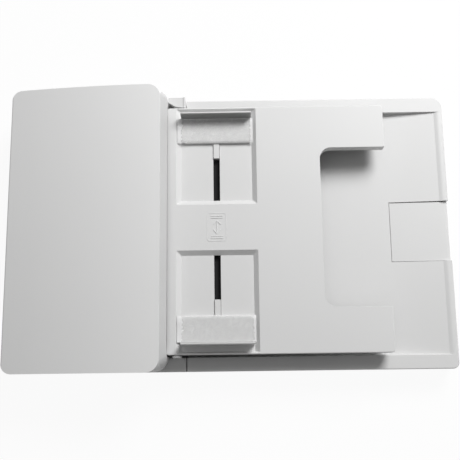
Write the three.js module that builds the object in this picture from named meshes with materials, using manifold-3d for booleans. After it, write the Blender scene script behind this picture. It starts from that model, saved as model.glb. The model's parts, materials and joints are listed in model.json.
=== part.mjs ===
// Top unit of an all-in-one inkjet printer: the scanner lid with its automatic document feeder.
// Millimetres. +X right, +Y back, +Z up. The origin is the centre of the rectangle the unit stands on.
// Sheets lie on the input tray, are drawn left under the cover, turn round the left end, pass the scan slot
// and come out to the right on the lid's floor, under the tray.
import * as THREE from "three";
import { mergeVertices } from "three/addons/utils/BufferGeometryUtils.js";
import Module from "manifold-3d";

const wasm = await Module();
wasm.setup();

// ---------------------------------------------------------------- driving dimensions
const lidWidth = 425; // overall, left to right
const lidDepth = 270; // overall, front to back
const wall = 2.2; // wall of every large moulding
const seam = 0.4; // open joint between two mouldings
const clearance = 0.3; // between pieces that seat on, or run beside, each other
const bearing = 0.08; // radial play of a shaft in its bore
const fit = 0.05; // radial play of a part pressed on a shaft

const footHeight = 1.2; // how far the bumpers hold the skirt off the glass
const rimHeight = 27; // top of the lid's rim
const trayTop = 49; // paper surface of the input tray
const trayDepth = 10.8; // thickness of the tray with its bottom cover
const coverRise = 25; // from the paper surface to the highest edge of the feeder cover
const coverLeftRise = 11; // and to where its top meets the left shoulder

const feederWidth = 166.5; // from the left end to the seam with the lid moulding
const coverWidth = 146; // from the left end to the top edge of the cover's right wall
const coverFoot = 152.5; // from the left end to the bottom of that wall
const mouthHeight = 7; // gap over the paper surface where sheets enter
const lidCorner = 6; // plan radius of the lid's right corners
const coverLeftCorner = 10; // plan radius of the left corners
const coverRightCorner = 22; // plan radius of the cover's right corners
const coverShoulder = 6; // radius of the cover's left shoulder

const paperHalf = 108.5; // centre line to a fence at its widest
const frameInset = 25; // from the outside of the unit to a side frame's inner face
const frameThickness = 2.5;

// ---------------------------------------------------------------- places that follow from them
const left = -lidWidth / 2;
const right = lidWidth / 2;
const back = lidDepth / 2;
const coverTop = trayTop + coverRise;
const coverLeftTop = trayTop + coverLeftRise;
const seamX = left + feederWidth;
const mouthX = left + coverFoot;
const frameY = back - frameInset;
const frameOuterY = frameY + frameThickness;
const guideHalf = frameY - 0.5; // half width of what lies between the frames
const deckBottom = 10.8; // the feeder's deck, which carries the frames
const deckTop = 13.2;
const panelBottom = 4.6;
const panelTop = 6.4;

// ---------------------------------------------------------------- solids
// A geometry's closed surface as a solid that can be joined and cut.
function solid(geometry) {
  const bare = geometry.clone();
  bare.deleteAttribute("normal");
  bare.deleteAttribute("uv");
  const merged = mergeVertices(bare, 1e-4);
  return new wasm.Manifold(
    new wasm.Mesh({
      numProp: 3,
      vertProperties: new Float32Array(merged.attributes.position.array),
      triVerts: new Uint32Array(merged.index.array),
    }),
  );
}

function geometryOf(body) {
  const mesh = body.getMesh();
  const positions = new Float32Array(mesh.numVert * 3);
  for (let i = 0; i < mesh.numVert; i++) {
    positions.set(mesh.vertProperties.subarray(i * mesh.numProp, i * mesh.numProp + 3), i * 3);
  }
  const geometry = new THREE.BufferGeometry();
  geometry.setAttribute("position", new THREE.BufferAttribute(positions, 3));
  geometry.setIndex(new THREE.BufferAttribute(new Uint32Array(mesh.triVerts), 1));
  geometry.computeVertexNormals();
  return geometry;
}

const join = (first, ...others) => others.reduce((sum, next) => sum.add(next), first);
const cut = (body, ...tools) => tools.reduce((rest, tool) => rest.subtract(tool), body);

// A box between two X, two Y and two Z values.
function block([x0, x1], [y0, y1], [z0, z1]) {
  const geometry = new THREE.BoxGeometry(x1 - x0, y1 - y0, z1 - z0);
  return solid(geometry.translate((x0 + x1) / 2, (y0 + y1) / 2, (z0 + z1) / 2));
}

// A solid whose outline changes evenly from one height to the next: [[z, points], ...].
function loft(sections) {
  const count = sections[0][1].length;
  const positions = sections.flatMap(([z, points]) => points.flatMap(([x, y]) => [x, y, z]));
  const index = [];
  for (let s = 0; s + 1 < sections.length; s++) {
    for (let i = 0; i < count; i++) {
      const a = s * count + i;
      const b = s * count + ((i + 1) % count);
      index.push(a, b, b + count, a, b + count, a + count);
    }
  }
  const top = (sections.length - 1) * count;
  for (let i = 1; i + 1 < count; i++) {
    index.push(0, i + 1, i, top, top + i, top + i + 1);
  }
  const geometry = new THREE.BufferGeometry();
  geometry.setAttribute("position", new THREE.BufferAttribute(new Float32Array(positions), 3));
  geometry.setIndex(index);
  return solid(geometry);
}

const outline = (points) => new THREE.Shape(points.map(([a, b]) => new THREE.Vector2(a, b)));

// An outline in X and Z, extruded from one Y to another.
function alongY(shape, [y0, y1], curveSegments = 8) {
  const geometry = new THREE.ExtrudeGeometry(shape, { depth: y1 - y0, bevelEnabled: false, curveSegments });
  return solid(geometry.rotateX(Math.PI / 2).translate(0, y1, 0));
}

// An outline in X and Y, extruded from one Z to another.
function alongZ(shape, [z0, z1]) {
  const geometry = new THREE.ExtrudeGeometry(shape, { depth: z1 - z0, bevelEnabled: false });
  return solid(geometry.translate(0, 0, z0));
}

// An outline in Y and Z, extruded from one X to another.
function alongX(shape, [x0, x1]) {
  const geometry = new THREE.ExtrudeGeometry(shape, { depth: x1 - x0, bevelEnabled: false });
  return solid(geometry.rotateX(Math.PI / 2).rotateZ(Math.PI / 2).translate(x0, 0, 0));
}

// The points of a rectangle with a radius for each corner: left front, right front, right back, left back.
function rounded([x0, x1], [y0, y1], radii, steps = 4) {
  const centres = ([lf, rf, rb, lb]) => [
    [x0 + lf, y0 + lf],
    [x1 - rf, y0 + rf],
    [x1 - rb, y1 - rb],
    [x0 + lb, y1 - lb],
  ];
  return centres(radii).flatMap(([cx, cy], corner) => {
    const radius = radii[corner];
    if (!radius) return [[cx, cy]];
    return Array.from({ length: steps + 1 }, (_, i) => {
      const angle = Math.PI * (1 + corner / 2 + i / (2 * steps));
      return [cx + radius * Math.cos(angle), cy + radius * Math.sin(angle)];
    });
  });
}

// A round bar along Y at a point [x, z].
function rod([x, z], radius, [y0, y1], sides = 20) {
  const geometry = new THREE.CylinderGeometry(radius, radius, y1 - y0, sides);
  return solid(geometry.translate(x, (y0 + y1) / 2, z));
}

// A round bar along Z at a point [x, y].
function post([x, y], radius, [z0, z1], sides = 12) {
  const geometry = new THREE.CylinderGeometry(radius, radius, z1 - z0, sides).rotateX(Math.PI / 2);
  return solid(geometry.translate(x, y, (z0 + z1) / 2));
}

const tube = (centre, outer, inner, [y0, y1], sides = 20) =>
  cut(rod(centre, outer, [y0, y1], sides), rod(centre, inner, [y0 - 1, y1 + 1], sides));

// A coil spring standing along Z.
function coilSpring([x, y], radius, wire, [z0, z1], turns) {
  const steps = turns * 8;
  const points = Array.from({ length: steps + 1 }, (_, i) => {
    const angle = (i / 8) * Math.PI * 2;
    const height = z0 + wire + ((z1 - z0 - 2 * wire) * i) / steps;
    return new THREE.Vector3(x + radius * Math.cos(angle), y + radius * Math.sin(angle), height);
  });
  const section = new THREE.Shape().absarc(0, 0, wire, 0, Math.PI * 2, false);
  const extrudePath = new THREE.CatmullRomCurve3(points);
  return solid(new THREE.ExtrudeGeometry(section, { steps, bevelEnabled: false, extrudePath, curveSegments: 3 }));
}

// ---------------------------------------------------------------- materials and nodes
const finish = (color, roughness, metalness = 0) =>
  new THREE.MeshStandardMaterial({ color, roughness, metalness });
const finishes = {
  casing: finish(0xe3e3e1, 0.5),
  tray: finish(0xe6e6e4, 0.5),
  guide: finish(0xe8e8e6, 0.35),
  blackPlastic: finish(0x2e2f31, 0.6),
  whitePlastic: finish(0xf0ede4, 0.45),
  rubber: finish(0x23231f, 0.85),
  greyRubber: finish(0x4a4c50, 0.9),
  steel: finish(0xb9bcc0, 0.3, 1),
  plated: finish(0xa9aeb3, 0.4, 1),
  foam: finish(0xd9d9d6, 0.95),
  whiteSheet: finish(0xf6f6f4, 0.4),
  board: finish(0x1f5a3a, 0.5),
};

const unit = new THREE.Group();

function add(name, body, material) {
  const mesh = new THREE.Mesh(geometryOf(body), material);
  mesh.name = name;
  unit.add(mesh);
}

// The same piece at the front and at the back: make(sign) gets -1 for the front and 1 for the back.
function addPair(name, make, material) {
  add(name + "_front", make(-1), material);
  add(name + "_rear", make(1), material);
}

// A span of Y values given for the back, moved to the side that sign names.
const side = (sign, [inner, outer]) => (sign > 0 ? [inner, outer] : [-outer, -inner]);
const around = (centre, half) => [centre - half, centre + half];

// ---------------------------------------------------------------- lid moulding and document stop
const bayHalf = back - 15; // half width of the output bay
const bayRight = right - 6.5; // its right-hand wall
const bayFloorLeft = 13; // floor height at the seam
const bayFloorCrease = 21; // where it turns up
const bayFloorRight = 24.3; // and at the right-hand wall
const creaseX = right - 57.5;

const flapSides = [-31.5, 27.5];
const flapHinge = [right - 2.9, 21.7];
const flapBarrel = 2.6;
const flapPin = 1.4;
const flapPinLength = 2.4;
const flapThickness = 2.3;
const flapCheek = 3.2; // wall that holds each flap pin

const lidScrews = [
  [seamX + 14, bayHalf - 8],
  [seamX + 14, 8 - bayHalf],
  [creaseX - 12, bayHalf - 8],
  [creaseX - 12, 8 - bayHalf],
];
const screwHole = 1.3;
const screwBoss = 4;

const hingePlateSize = [40, 18];
const hingePlateThickness = 2;
const hingePlateX = [left + 70, right - 45];

// Everything above the bay floor, with the floor lowered and the sides widened by a skin.
function baySpace(skin) {
  const top = rimHeight + 10;
  const shape = outline([
    [seamX - 10, bayFloorLeft - skin],
    [creaseX, bayFloorCrease - skin],
    [bayRight + skin, bayFloorRight - skin],
    [bayRight + skin, top],
    [seamX - 10, top],
  ]);
  return alongY(shape, around(0, bayHalf + skin));
}

// The pocket that the document stop folds into, open over the right rim.
function flapPocket(skin) {
  const low = bayFloorCrease - flapThickness - clearance - skin;
  const shape = outline([
    [creaseX - skin, low],
    [right + 1, flapHinge[1] - flapBarrel - clearance - skin],
    [right + 1, rimHeight + 10],
    [creaseX - skin, rimHeight + 10],
  ]);
  return alongY(shape, [flapSides[0] - seam - skin, flapSides[1] + seam + skin]);
}

const hingeNotches = () =>
  hingePlateX.map((x) => block(around(x, hingePlateSize[0] / 2 + 1), [back - wall - 1, back + 1], [0, panelBottom]));

function lidShell() {
  const start = seamX + seam;
  const outer = rounded([start, right], [-back, back], [0, lidCorner, lidCorner, 0]);
  const inner = rounded([start + wall, right - wall], around(0, back - wall), [0, lidCorner - wall, lidCorner - wall, 0]);
  const hollow = alongZ(outline(inner), [0, rimHeight - wall]);
  const cheek = (sides) => block([bayRight, right - wall], sides, [flapHinge[1] - 5, rimHeight - 1]);
  const skin = join(
    baySpace(wall),
    flapPocket(wall),
    cheek([flapSides[0] - seam - flapCheek, flapSides[0]]),
    cheek([flapSides[1], flapSides[1] + seam + flapCheek]),
  );
  const bosses = lidScrews.map((at) => post(at, screwBoss, [panelTop + clearance, bayFloorRight]));
  const ribs = [-75, -45, 45, 75].map((y) =>
    block([start + wall - 0.5, right - 12], around(y, 0.8), [panelTop + clearance, bayFloorRight]),
  );
  const walls = cut(alongZ(outline(outer), [footHeight, rimHeight]), cut(hollow, skin));
  const bores = lidScrews.map((at) => post(at, screwHole, [0, panelTop + 6], 8));
  const pins = flapPinLength + clearance + seam;
  const pinBore = rod(flapHinge, flapPin + bearing, [flapSides[0] - pins, flapSides[1] + pins], 12);
  const panelWay = block([start - 1, start + wall + 1], around(0, back - wall), [0, panelTop + clearance]);
  const body = cut(join(walls, ...bosses, ...ribs), baySpace(0), flapPocket(0));
  return cut(body, pinBore, panelWay, ...bores, ...hingeNotches());
}

// The document stop lies in the bay floor and turns out over the right edge.
function stopFlap() {
  const [hingeX, hingeZ] = flapHinge;
  const slope = (bayFloorRight - bayFloorCrease) / (bayRight - creaseX);
  const near = creaseX + seam;
  const shape = outline([
    [near, bayFloorCrease - flapThickness],
    [hingeX, hingeZ - flapBarrel],
    [hingeX, hingeZ + flapBarrel],
    [hingeX - 5.6, bayFloorCrease + slope * (hingeX - 5.6 - creaseX)],
    [near, bayFloorCrease],
  ]);
  const pinEnds = [flapSides[0] - seam - flapPinLength, flapSides[1] + seam + flapPinLength];
  return join(alongY(shape, flapSides), rod(flapHinge, flapBarrel, flapSides), rod(flapHinge, flapPin, pinEnds, 12));
}

// ---------------------------------------------------------------- underside
const padX = [left + 118, bayRight - 1];
const panelX = [padX[0] - 4, right - wall - 1];
const padHalf = back - 25.5;
const sheetBottom = 0.5;
const sheetTop = 0.9;
const bumperSize = [14, 6];
const bumperX = [left + 16, right - 16];
const bumperY = back - 9;
const panelScrews = [
  [panelX[0] + 18, 100],
  [panelX[0] + 18, -100],
];

function lidPanel() {
  const plate = alongZ(outline(rounded(panelX, around(0, back - wall - 1), [2, 4, 4, 2], 2)), [panelBottom, panelTop]);
  const bores = [...lidScrews, ...panelScrews].map((at) => post(at, screwHole + 0.4, [0, panelTop + 1], 8));
  return cut(plate, ...bores);
}

const padPlate = (inset, z) =>
  alongZ(outline(rounded([padX[0] + inset, padX[1] - inset], around(0, padHalf - inset), [3, 3, 3, 3], 2)), z);

function hingePlate(x) {
  const [length, width] = hingePlateSize;
  const y1 = back - wall - 1.5;
  const top = panelBottom - clearance;
  const holes = [-length / 4, length / 4].map((dx) => post([x + dx, y1 - width / 2], 2, [0, 9]));
  return cut(block(around(x, length / 2), [y1 - width, y1], [top - hingePlateThickness, top]), ...holes);
}

const bumper = (x, y) =>
  block(around(x, bumperSize[0] / 2), around(y, bumperSize[1] / 2), [0, panelBottom - clearance]);

// ---------------------------------------------------------------- gears
const addendum = 0.8;
const dedendum = 1.05;
const teeth = { motor: 12, centre: 28, feed: 24, exit: 14, idler: 16, transport: 20, guide: 12 };
const pitchRadius = (name) => teeth[name] / 2; // every gear has module 1
const rootRadius = (name) => pitchRadius(name) - dedendum;
const tipRadius = (name) => pitchRadius(name) + addendum;
const degrees = (angle) => (angle * Math.PI) / 180;

// The outline of a toothed wheel about [u, v], with a tooth centred at the phase angle.
function gearShape(name, [u, v], phase) {
  const count = teeth[name];
  const pitch = (2 * Math.PI) / count;
  const corners = [
    [-0.29, rootRadius(name)],
    [-0.11, tipRadius(name)],
    [0.11, tipRadius(name)],
    [0.29, rootRadius(name)],
  ];
  const points = Array.from({ length: count }, (_, i) =>
    corners.map(([turn, radius]) => {
      const angle = phase + (i + turn) * pitch;
      return [u + radius * Math.cos(angle), v + radius * Math.sin(angle)];
    }),
  );
  return outline(points.flat());
}

// Where gear b stands when it meshes with gear a in a direction, and the phase that its teeth then need.
function meshed(a, from, phaseA, b, angle) {
  const distance = pitchRadius(a) + pitchRadius(b);
  const at = [from[0] + distance * Math.cos(angle), from[1] + distance * Math.sin(angle)];
  const phase = angle + Math.PI - ((phaseA - angle) * teeth[a]) / teeth[b] + Math.PI / teeth[b];
  return { at, phase };
}

// ---------------------------------------------------------------- places of the shafts, [x, z]
const transportAt = [left + 56.5, trayTop - 11];
const centreAt = [left + 88.5, trayTop - 13];

// The direction from the transport shaft to the idler that also meshes with the centre gear, on the lower side.
function idlerDirection() {
  const dx = centreAt[0] - transportAt[0];
  const dz = centreAt[1] - transportAt[1];
  const span = Math.hypot(dx, dz);
  const near = pitchRadius("idler") + pitchRadius("transport");
  const far = pitchRadius("idler") + pitchRadius("centre");
  return Math.atan2(dz, dx) - Math.acos((near ** 2 + span ** 2 - far ** 2) / (2 * near * span));
}

const idler = meshed("transport", transportAt, 0, "idler", idlerDirection());
const idlerToCentre = Math.atan2(centreAt[1] - idler.at[1], centreAt[0] - idler.at[0]);
const centre = meshed("idler", idler.at, idler.phase, "centre", idlerToCentre);
const feed = meshed("centre", centreAt, centre.phase, "feed", degrees(52));
const exit = meshed("centre", centreAt, centre.phase, "exit", degrees(-62));
const motor = meshed("centre", centreAt, centre.phase, "motor", degrees(-10));

const feedRadius = 9.5;
const transportRadius = 8;
const exitRadius = 6;
const pickupRadius = 8;
const pickupReach = 22; // between the feed and pickup shafts
const pickupAt = [feed.at[0] + pickupReach, trayTop + 0.3 + pickupRadius];
const transportPinchRadius = 5.5;
const exitPinchRadius = 3.5;
const nip = 0.2; // open gap between two rollers with no sheet in it
const transportPinchAt = [transportAt[0], transportAt[1] + transportRadius + nip + transportPinchRadius];
const exitPinchAt = [exit.at[0], exit.at[1] - exitRadius - nip - exitPinchRadius];

const shaftRadius = 3;
const exitShaftRadius = 2.5;
const axleRadius = 1.2;
const pickupShaftRadius = 1.5;
const gearY = [frameOuterY + 1.5, frameOuterY + 6.5];
const gearPlateY = [gearY[1] + 1, gearY[1] + 2.2];
const shaftY = [-frameOuterY - 2, gearPlateY[1] + 1.5];
const tyreY = [30, 56]; // the transport and exit rollers, either side of the middle

// ---------------------------------------------------------------- feeder base, paper path and frames
const turnBottom = 7.5; // underside of the core where the sheet is scanned
const pathGap = 4.5; // between the core and what faces it
const turnInner = (trayTop - 3.5 - turnBottom) / 2;
const turnOuter = turnInner + pathGap;
const turnCentre = [left + turnOuter + 21, turnBottom + turnInner];
const slotX = [turnCentre[0] - 3, turnCentre[0] + 7]; // scan slot
const turnAtDeck = Math.sqrt((turnOuter + 2) ** 2 - (turnCentre[1] - deckTop) ** 2);
const wellX = [turnCentre[0] - turnAtDeck - clearance, exit.at[0] + 15.74]; // hole in the deck that the lower guide fills
const coreRight = mouthX - 6;
const rimLeft = left + 118; // where the rim's ledge starts, under the cover's right corners

const coverPivot = [left + 7, 38];
const pivotEar = 4.2;
const pivotPin = 2;
const trayPivot = [mouthX + 6, trayTop - 5.5];
const trayPin = 2.5;
const trayHalf = back - 15.4;
const trayX = [mouthX - 3, right - 64.5];

function feederBase() {
  const corners = [coverLeftCorner, 0, 0, coverLeftCorner];
  const innerCorners = corners.map((radius) => Math.max(0, radius - wall));
  const outer = alongZ(outline(rounded([left, seamX], [-back, back], corners)), [footHeight, rimHeight]);
  const inside = outline(rounded([left + wall, seamX + 1], around(0, back - wall), innerCorners));
  const deck = [deckBottom, deckTop];
  const well = block(wellX, around(0, guideHalf + clearance), [0, deckTop + 1]);
  const gearPit = block(around(exit.at[0], tipRadius("exit") + 1.2), [frameOuterY + 0.7, gearPlateY[1] + 1], [9, 20]);
  const rim = [-1, 1].map((sign) => {
    const ledge = block([rimLeft, seamX], side(sign, [bayHalf, back - 1]), [rimHeight - wall, rimHeight]);
    return join(ledge, block([rimLeft, seamX], side(sign, [bayHalf, bayHalf + wall]), [deckTop - 1, rimHeight]));
  });
  const hingePad = block(around(hingePlateX[0], 22), [back - 24, back - 1], [panelBottom, deckTop - 1]);
  const bumperPads = [-1, 1].map((sign) =>
    block(around(bumperX[0], 8), side(sign, [bumperY - 5, back - 1]), [panelBottom, deckTop - 1]),
  );
  const bosses = panelScrews.map((at) => post(at, screwBoss, [panelTop + clearance, deckTop - 1]));
  const bores = panelScrews.map((at) => post(at, screwHole, [0, deckBottom + 1], 8));
  const floor = alongZ(inside, deck).intersect(outer);
  const ring = cut(outer, alongZ(inside, [0, rimHeight + 1]));
  const body = join(ring, floor, ...rim, hingePad, ...bumperPads, ...bosses);
  return cut(body, well, gearPit, ...bores, ...hingeNotches());
}

// The lower side of the paper path: round the left end, past the scan slot and up to the exit rollers.
function lowerGuide() {
  const [cx, cz] = turnCentre;
  const shape = new THREE.Shape();
  shape.moveTo(cx - turnOuter, cz + 9.5);
  shape.lineTo(cx - turnOuter, cz);
  shape.absarc(cx, cz, turnOuter, Math.PI, Math.PI * 1.5, false);
  shape.lineTo(slotX[1], cz - turnOuter);
  shape.lineTo(exit.at[0], exit.at[1] - exitRadius - nip);
  shape.lineTo(wellX[1] - clearance, deckTop + 0.6);
  shape.lineTo(wellX[1] - clearance, deckTop - 1.6);
  shape.lineTo(exit.at[0], exit.at[1] - exitRadius - nip - 2.3);
  shape.lineTo(slotX[1] + 1, cz - turnOuter - 1.9);
  shape.lineTo(cx, cz - turnOuter - 1.9);
  shape.absarc(cx, cz, turnOuter + 2, Math.PI * 1.5, Math.PI, true);
  shape.lineTo(cx - turnOuter - 2, cz + 9.5);
  const body = alongY(shape, around(0, guideHalf), 6);
  const slot = block(slotX, around(0, paperHalf), [0, 8]);
  const cradles = [-1, 1].map((sign) => {
    const [y0, y1] = side(sign, tyreY);
    const [x, z] = exitPinchAt;
    const lug = (y) => block(around(x, 3), y, [z - 2.8, z + 2]);
    return [join(lug([y0 - 3, y0 - 0.5]), lug([y1 + 0.5, y1 + 3])), block(around(x, 5), [y0 - 0.5, y1 + 0.5], around(z, 12))];
  });
  const lugs = cradles.map(([pair]) => pair);
  const windows = cradles.map(([, window]) => window);
  const axle = rod(exitPinchAt, axleRadius + bearing, around(0, tyreY[1] + 2.5), 12);
  return cut(join(body, ...lugs), slot, ...windows, axle);
}

// The core that the paper wraps round; a tube with windows for the rollers and a pocket for the separator.
const separatorX = [feed.at[0] - 11.5, feed.at[0] + 11];
const separatorHalf = 14.5;
const separatorBottom = trayTop - 17;
const flagX = feed.at[0] + 16;
const flagY = 40;
const flagZ = trayTop - 7;
const coreBottom = exit.at[1] + 2.34;
const boardZ = coreBottom + 7.2;

function innerGuide() {
  const [cx, cz] = turnCentre;
  const [fx] = feed.at;
  const [ex, ez] = exit.at;
  const coreShape = (skin) => {
    const shape = new THREE.Shape();
    shape.moveTo(coreRight - skin, coreBottom + 1.2 + skin);
    shape.lineTo(coreRight - skin, trayTop - 0.4 - skin);
    shape.lineTo(fx + 13, trayTop - 0.4 - skin);
    shape.lineTo(fx + 8.5, trayTop - 2.1 - skin);
    shape.lineTo(fx - 13, trayTop - 3.3 - skin);
    shape.lineTo(cx, cz + turnInner - skin);
    shape.absarc(cx, cz, turnInner - skin, Math.PI / 2, Math.PI * 1.5, false);
    shape.lineTo(slotX[1] + 3, cz - turnInner + 0.7 + skin);
    shape.lineTo(ex - 9.8, ez - 0.5 + skin);
    shape.lineTo(ex - 4.9, ez + 4 + skin);
    shape.lineTo(ex + 4.8 + skin / 4, ez + 4 + skin);
    shape.lineTo(ex + 7.3 + skin / 4, coreBottom + skin);
    return shape;
  };
  const body = alongY(coreShape(0), around(0, guideHalf), 6);
  const hollow = alongY(coreShape(2), around(0, guideHalf + 1), 6);
  const pocket = block([separatorX[0] - 2, separatorX[1] + 2], around(0, separatorHalf + 2), [separatorBottom - 2, trayTop - 3]);
  const flagLugs = [flagY - 4.5, flagY + 2.5].map((y) => block([flagX - 3, flagX + 3], [y, y + 2], [flagZ - 4, trayTop - 1]));
  const boardPosts = [flagY + 9, flagY + 21].map((y) => post([flagX, y], 2, [coreBottom + 0.7, boardZ - clearance]));
  const solids = join(cut(body, hollow), pocket.intersect(body), ...flagLugs, ...boardPosts);
  const windows = [-1, 1].flatMap((sign) => {
    const y = side(sign, [tyreY[0] - 1, tyreY[1] + 1]);
    return [
      block(around(transportAt[0], transportRadius + 1), y, [cz + 12, trayTop]),
      block(around(ex, exitRadius + 1), y, [5, ez + exitRadius + 1]),
    ];
  });
  const pegHoles = [-80, 80].map((y) => post([turnCentre[0], y], 2.4, [5, 12]));
  return cut(
    solids,
    ...windows,
    block(separatorX, around(0, separatorHalf), [separatorBottom, trayTop + 1]),
    block([flagX - 12, flagX + 3], [flagY - 1.5, flagY + 1.5], [trayTop - 4, trayTop + 1]),
    rod([flagX, flagZ], 1.5 + bearing, [flagY - 5, flagY + 5], 12),
    ...pegHoles,
  );
}

// A side frame carries the shafts and the cover's pivot; the rear one has posts for the gear plate.
const gearPosts = [
  [transportAt[0] - 18.5, transportAt[1] - 14],
  [transportAt[0] + 9.5, transportAt[1] + 17],
  [centreAt[0] + 23.5, centreAt[1] - 16],
];

function frame(sign) {
  const y = side(sign, [frameY, frameOuterY]);
  const [px, pz] = coverPivot;
  const plate = alongY(
    outline([
      [px + 12.5, deckTop + clearance],
      [coreRight, deckTop + clearance],
      [coreRight, trayTop - 3],
      [feed.at[0] + 16, trayTop + 1],
      [feed.at[0] + 12, feed.at[1] + 6],
      [feed.at[0] - 12, feed.at[1] + 6],
      [feed.at[0] - 18, trayTop + 4],
      [left + 22, trayTop + 2],
      [px + 2, pz + pivotEar],
      [px - 2, pz + pivotEar],
      [px - pivotEar, pz + 2],
      [px - pivotEar, pz - 2],
      [px - 2, pz - pivotEar],
      [px + 9, pz - pivotEar],
      [px + 12.5, pz - 8],
    ]),
    y,
  );
  const bores = [
    rod(coverPivot, pivotPin + bearing, [y[0] - 1, y[1] + 1], 12),
    rod(feed.at, shaftRadius + bearing, [y[0] - 1, y[1] + 1]),
    rod(transportAt, shaftRadius + bearing, [y[0] - 1, y[1] + 1]),
    rod(exit.at, exitShaftRadius + bearing, [y[0] - 1, y[1] + 1]),
  ];
  if (sign < 0) return cut(plate, ...bores);
  const posts = gearPosts.map((at) => rod(at, 3, [y[0] + 1, gearPlateY[0] - clearance], 12));
  return cut(join(plate, ...posts), ...bores, rod(motor.at, 3, [y[0] - 1, y[1] + 1], 12));
}

function gearPlate() {
  const plate = alongY(
    outline([
      [transportAt[0] - 22.5, centreAt[1] - 19],
      [centreAt[0] + 26.5, centreAt[1] - 19],
      [centreAt[0] + 26.5, centreAt[1] + 4],
      [feed.at[0] + 6, feed.at[1] + 6],
      [feed.at[0] - 6, feed.at[1] + 6],
      [transportAt[0] + 5.5, transportAt[1] + 21],
      [transportAt[0] - 6.5, transportAt[1] + 12],
      [transportAt[0] - 22.5, transportAt[1] - 10],
    ]),
    gearPlateY,
  );
  const pins = [rod(centreAt, 2.5, [gearY[0] - 0.5, gearPlateY[1]]), rod(idler.at, 2, [gearY[0] - 0.5, gearPlateY[1]])];
  const lowEar = rod(exit.at, 5.5, gearPlateY, 12);
  const bores = [
    rod(feed.at, shaftRadius + bearing, [gearPlateY[0] - 1, gearPlateY[1] + 1]),
    rod(transportAt, shaftRadius + bearing, [gearPlateY[0] - 1, gearPlateY[1] + 1]),
    rod(exit.at, exitShaftRadius + bearing, [gearPlateY[0] - 1, gearPlateY[1] + 1]),
  ];
  return cut(join(plate, lowEar, ...pins), ...bores);
}

// The rear bracket is the tall block beside the tray; the front one is a low, thin ear.
function trayBracket(sign) {
  const [x, z] = trayPivot;
  const tall = block([x - 5.5, x + 8.5], [trayHalf + 0.7, trayHalf + 11.4], [rimHeight + clearance, trayTop + 0.3]);
  const low = block([x - 4, x + 4], [-trayHalf - 4.5, -trayHalf - 0.7], [rimHeight + clearance, z + 4]);
  const bore = rod(trayPivot, trayPin + bearing, side(sign, [trayHalf, trayHalf + 9]));
  return cut(sign > 0 ? tall : low, bore);
}

// ---------------------------------------------------------------- rollers, separator and pickup arm
const tyre = (at, radius, bore, y) => tube(at, radius, bore, y, 24);
const wheel = (name, { at, phase }, bore) =>
  cut(alongY(gearShape(name, at, phase), gearY), rod(at, bore, [gearY[0] - 1, gearY[1] + 1]));

function pinch(at, radius, sign) {
  const [y0, y1] = side(sign, tyreY);
  return join(rod(at, radius, [y0, y1], 16), rod(at, axleRadius, [y0 - 2.5, y1 + 2.5], 12));
}

function separationHolder() {
  const x = [separatorX[0] + 0.5, separatorX[1] - 0.5];
  const low = trayTop - 9;
  const floor = block(x, around(0, separatorHalf - 0.5), [low, low + 2]);
  const lips = [
    block([x[0], x[0] + 1.5], around(0, separatorHalf - 0.5), [low + 1, low + 5.4]),
    block([x[1] - 1.5, x[1]], around(0, separatorHalf - 0.5), [low + 1, low + 5.4]),
  ];
  return join(floor, ...lips);
}

// The friction pad is dished to the feed roller.
function separationPad() {
  const x = [separatorX[0] + 2.2, separatorX[1] - 2.2];
  const pad = block(x, around(0, separatorHalf - 1), [trayTop - 6.9, trayTop - 1.4]);
  return cut(pad, rod(feed.at, feedRadius + nip, around(0, separatorHalf + 1), 32));
}

function scanBacking() {
  const x = turnCentre[0];
  const plate = block([slotX[0] - 3, slotX[1] + 3], around(0, paperHalf - 1), [turnBottom - 2.7, turnBottom - 1.3]);
  const pegs = [-80, 80].map((y) =>
    join(post([x, y], 2, [turnBottom - 1.5, turnBottom + 3.1]), post([x, y], 3.5, [turnBottom + 2.6, turnBottom + 4.1])),
  );
  return join(plate, ...pegs);
}

const armY = [16, 18];
const pulleyY = [19, 23];
const pulleyRadius = 5.4;

function capsule(a, b, radius, y) {
  const direction = Math.atan2(b[1] - a[1], b[0] - a[0]);
  const shape = new THREE.Shape();
  shape.absarc(a[0], a[1], radius, direction + Math.PI / 2, direction + Math.PI * 1.5, false);
  shape.absarc(b[0], b[1], radius, direction - Math.PI / 2, direction + Math.PI / 2, false);
  return alongY(shape, y, 8);
}

function pickupArm() {
  const cheeks = [-1, 1].map((sign) => capsule(feed.at, pickupAt, 5, side(sign, armY)));
  const middle = (feed.at[0] + pickupAt[0]) / 2;
  const bridge = block([middle - 1.4, middle + 2.4], around(0, armY[1]), [feed.at[1] + 3.5, feed.at[1] + 8]);
  return cut(
    join(...cheeks, bridge),
    rod(feed.at, shaftRadius + bearing, around(0, 20)),
    rod(pickupAt, pickupShaftRadius + bearing, around(0, 20), 12),
  );
}

const pickupBelt = () =>
  cut(
    capsule(feed.at, pickupAt, pulleyRadius + 1.1, [pulleyY[0] + 0.5, pulleyY[1] - 0.5]),
    capsule(feed.at, pickupAt, pulleyRadius + 0.1, pulleyY),
  );

function pickupHub() {
  const axle = rod(pickupAt, pickupShaftRadius, [-armY[1] - 1, pulleyY[1]], 12);
  return join(axle, rod(pickupAt, 6, around(0, 13)), rod(pickupAt, pulleyRadius, pulleyY, 16));
}

// ---------------------------------------------------------------- motor, sensor and flag
const motorBody = () =>
  cut(rod(motor.at, 10, [frameY - 22, frameY - clearance], 24), rod(motor.at, 1.5 + bearing, [frameY - 10, frameY + 1], 12));
const motorPinion = () =>
  join(alongY(gearShape("motor", motor.at, motor.phase), gearY), rod(motor.at, 1.5, [frameY - 9, gearY[1]], 12));

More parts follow.
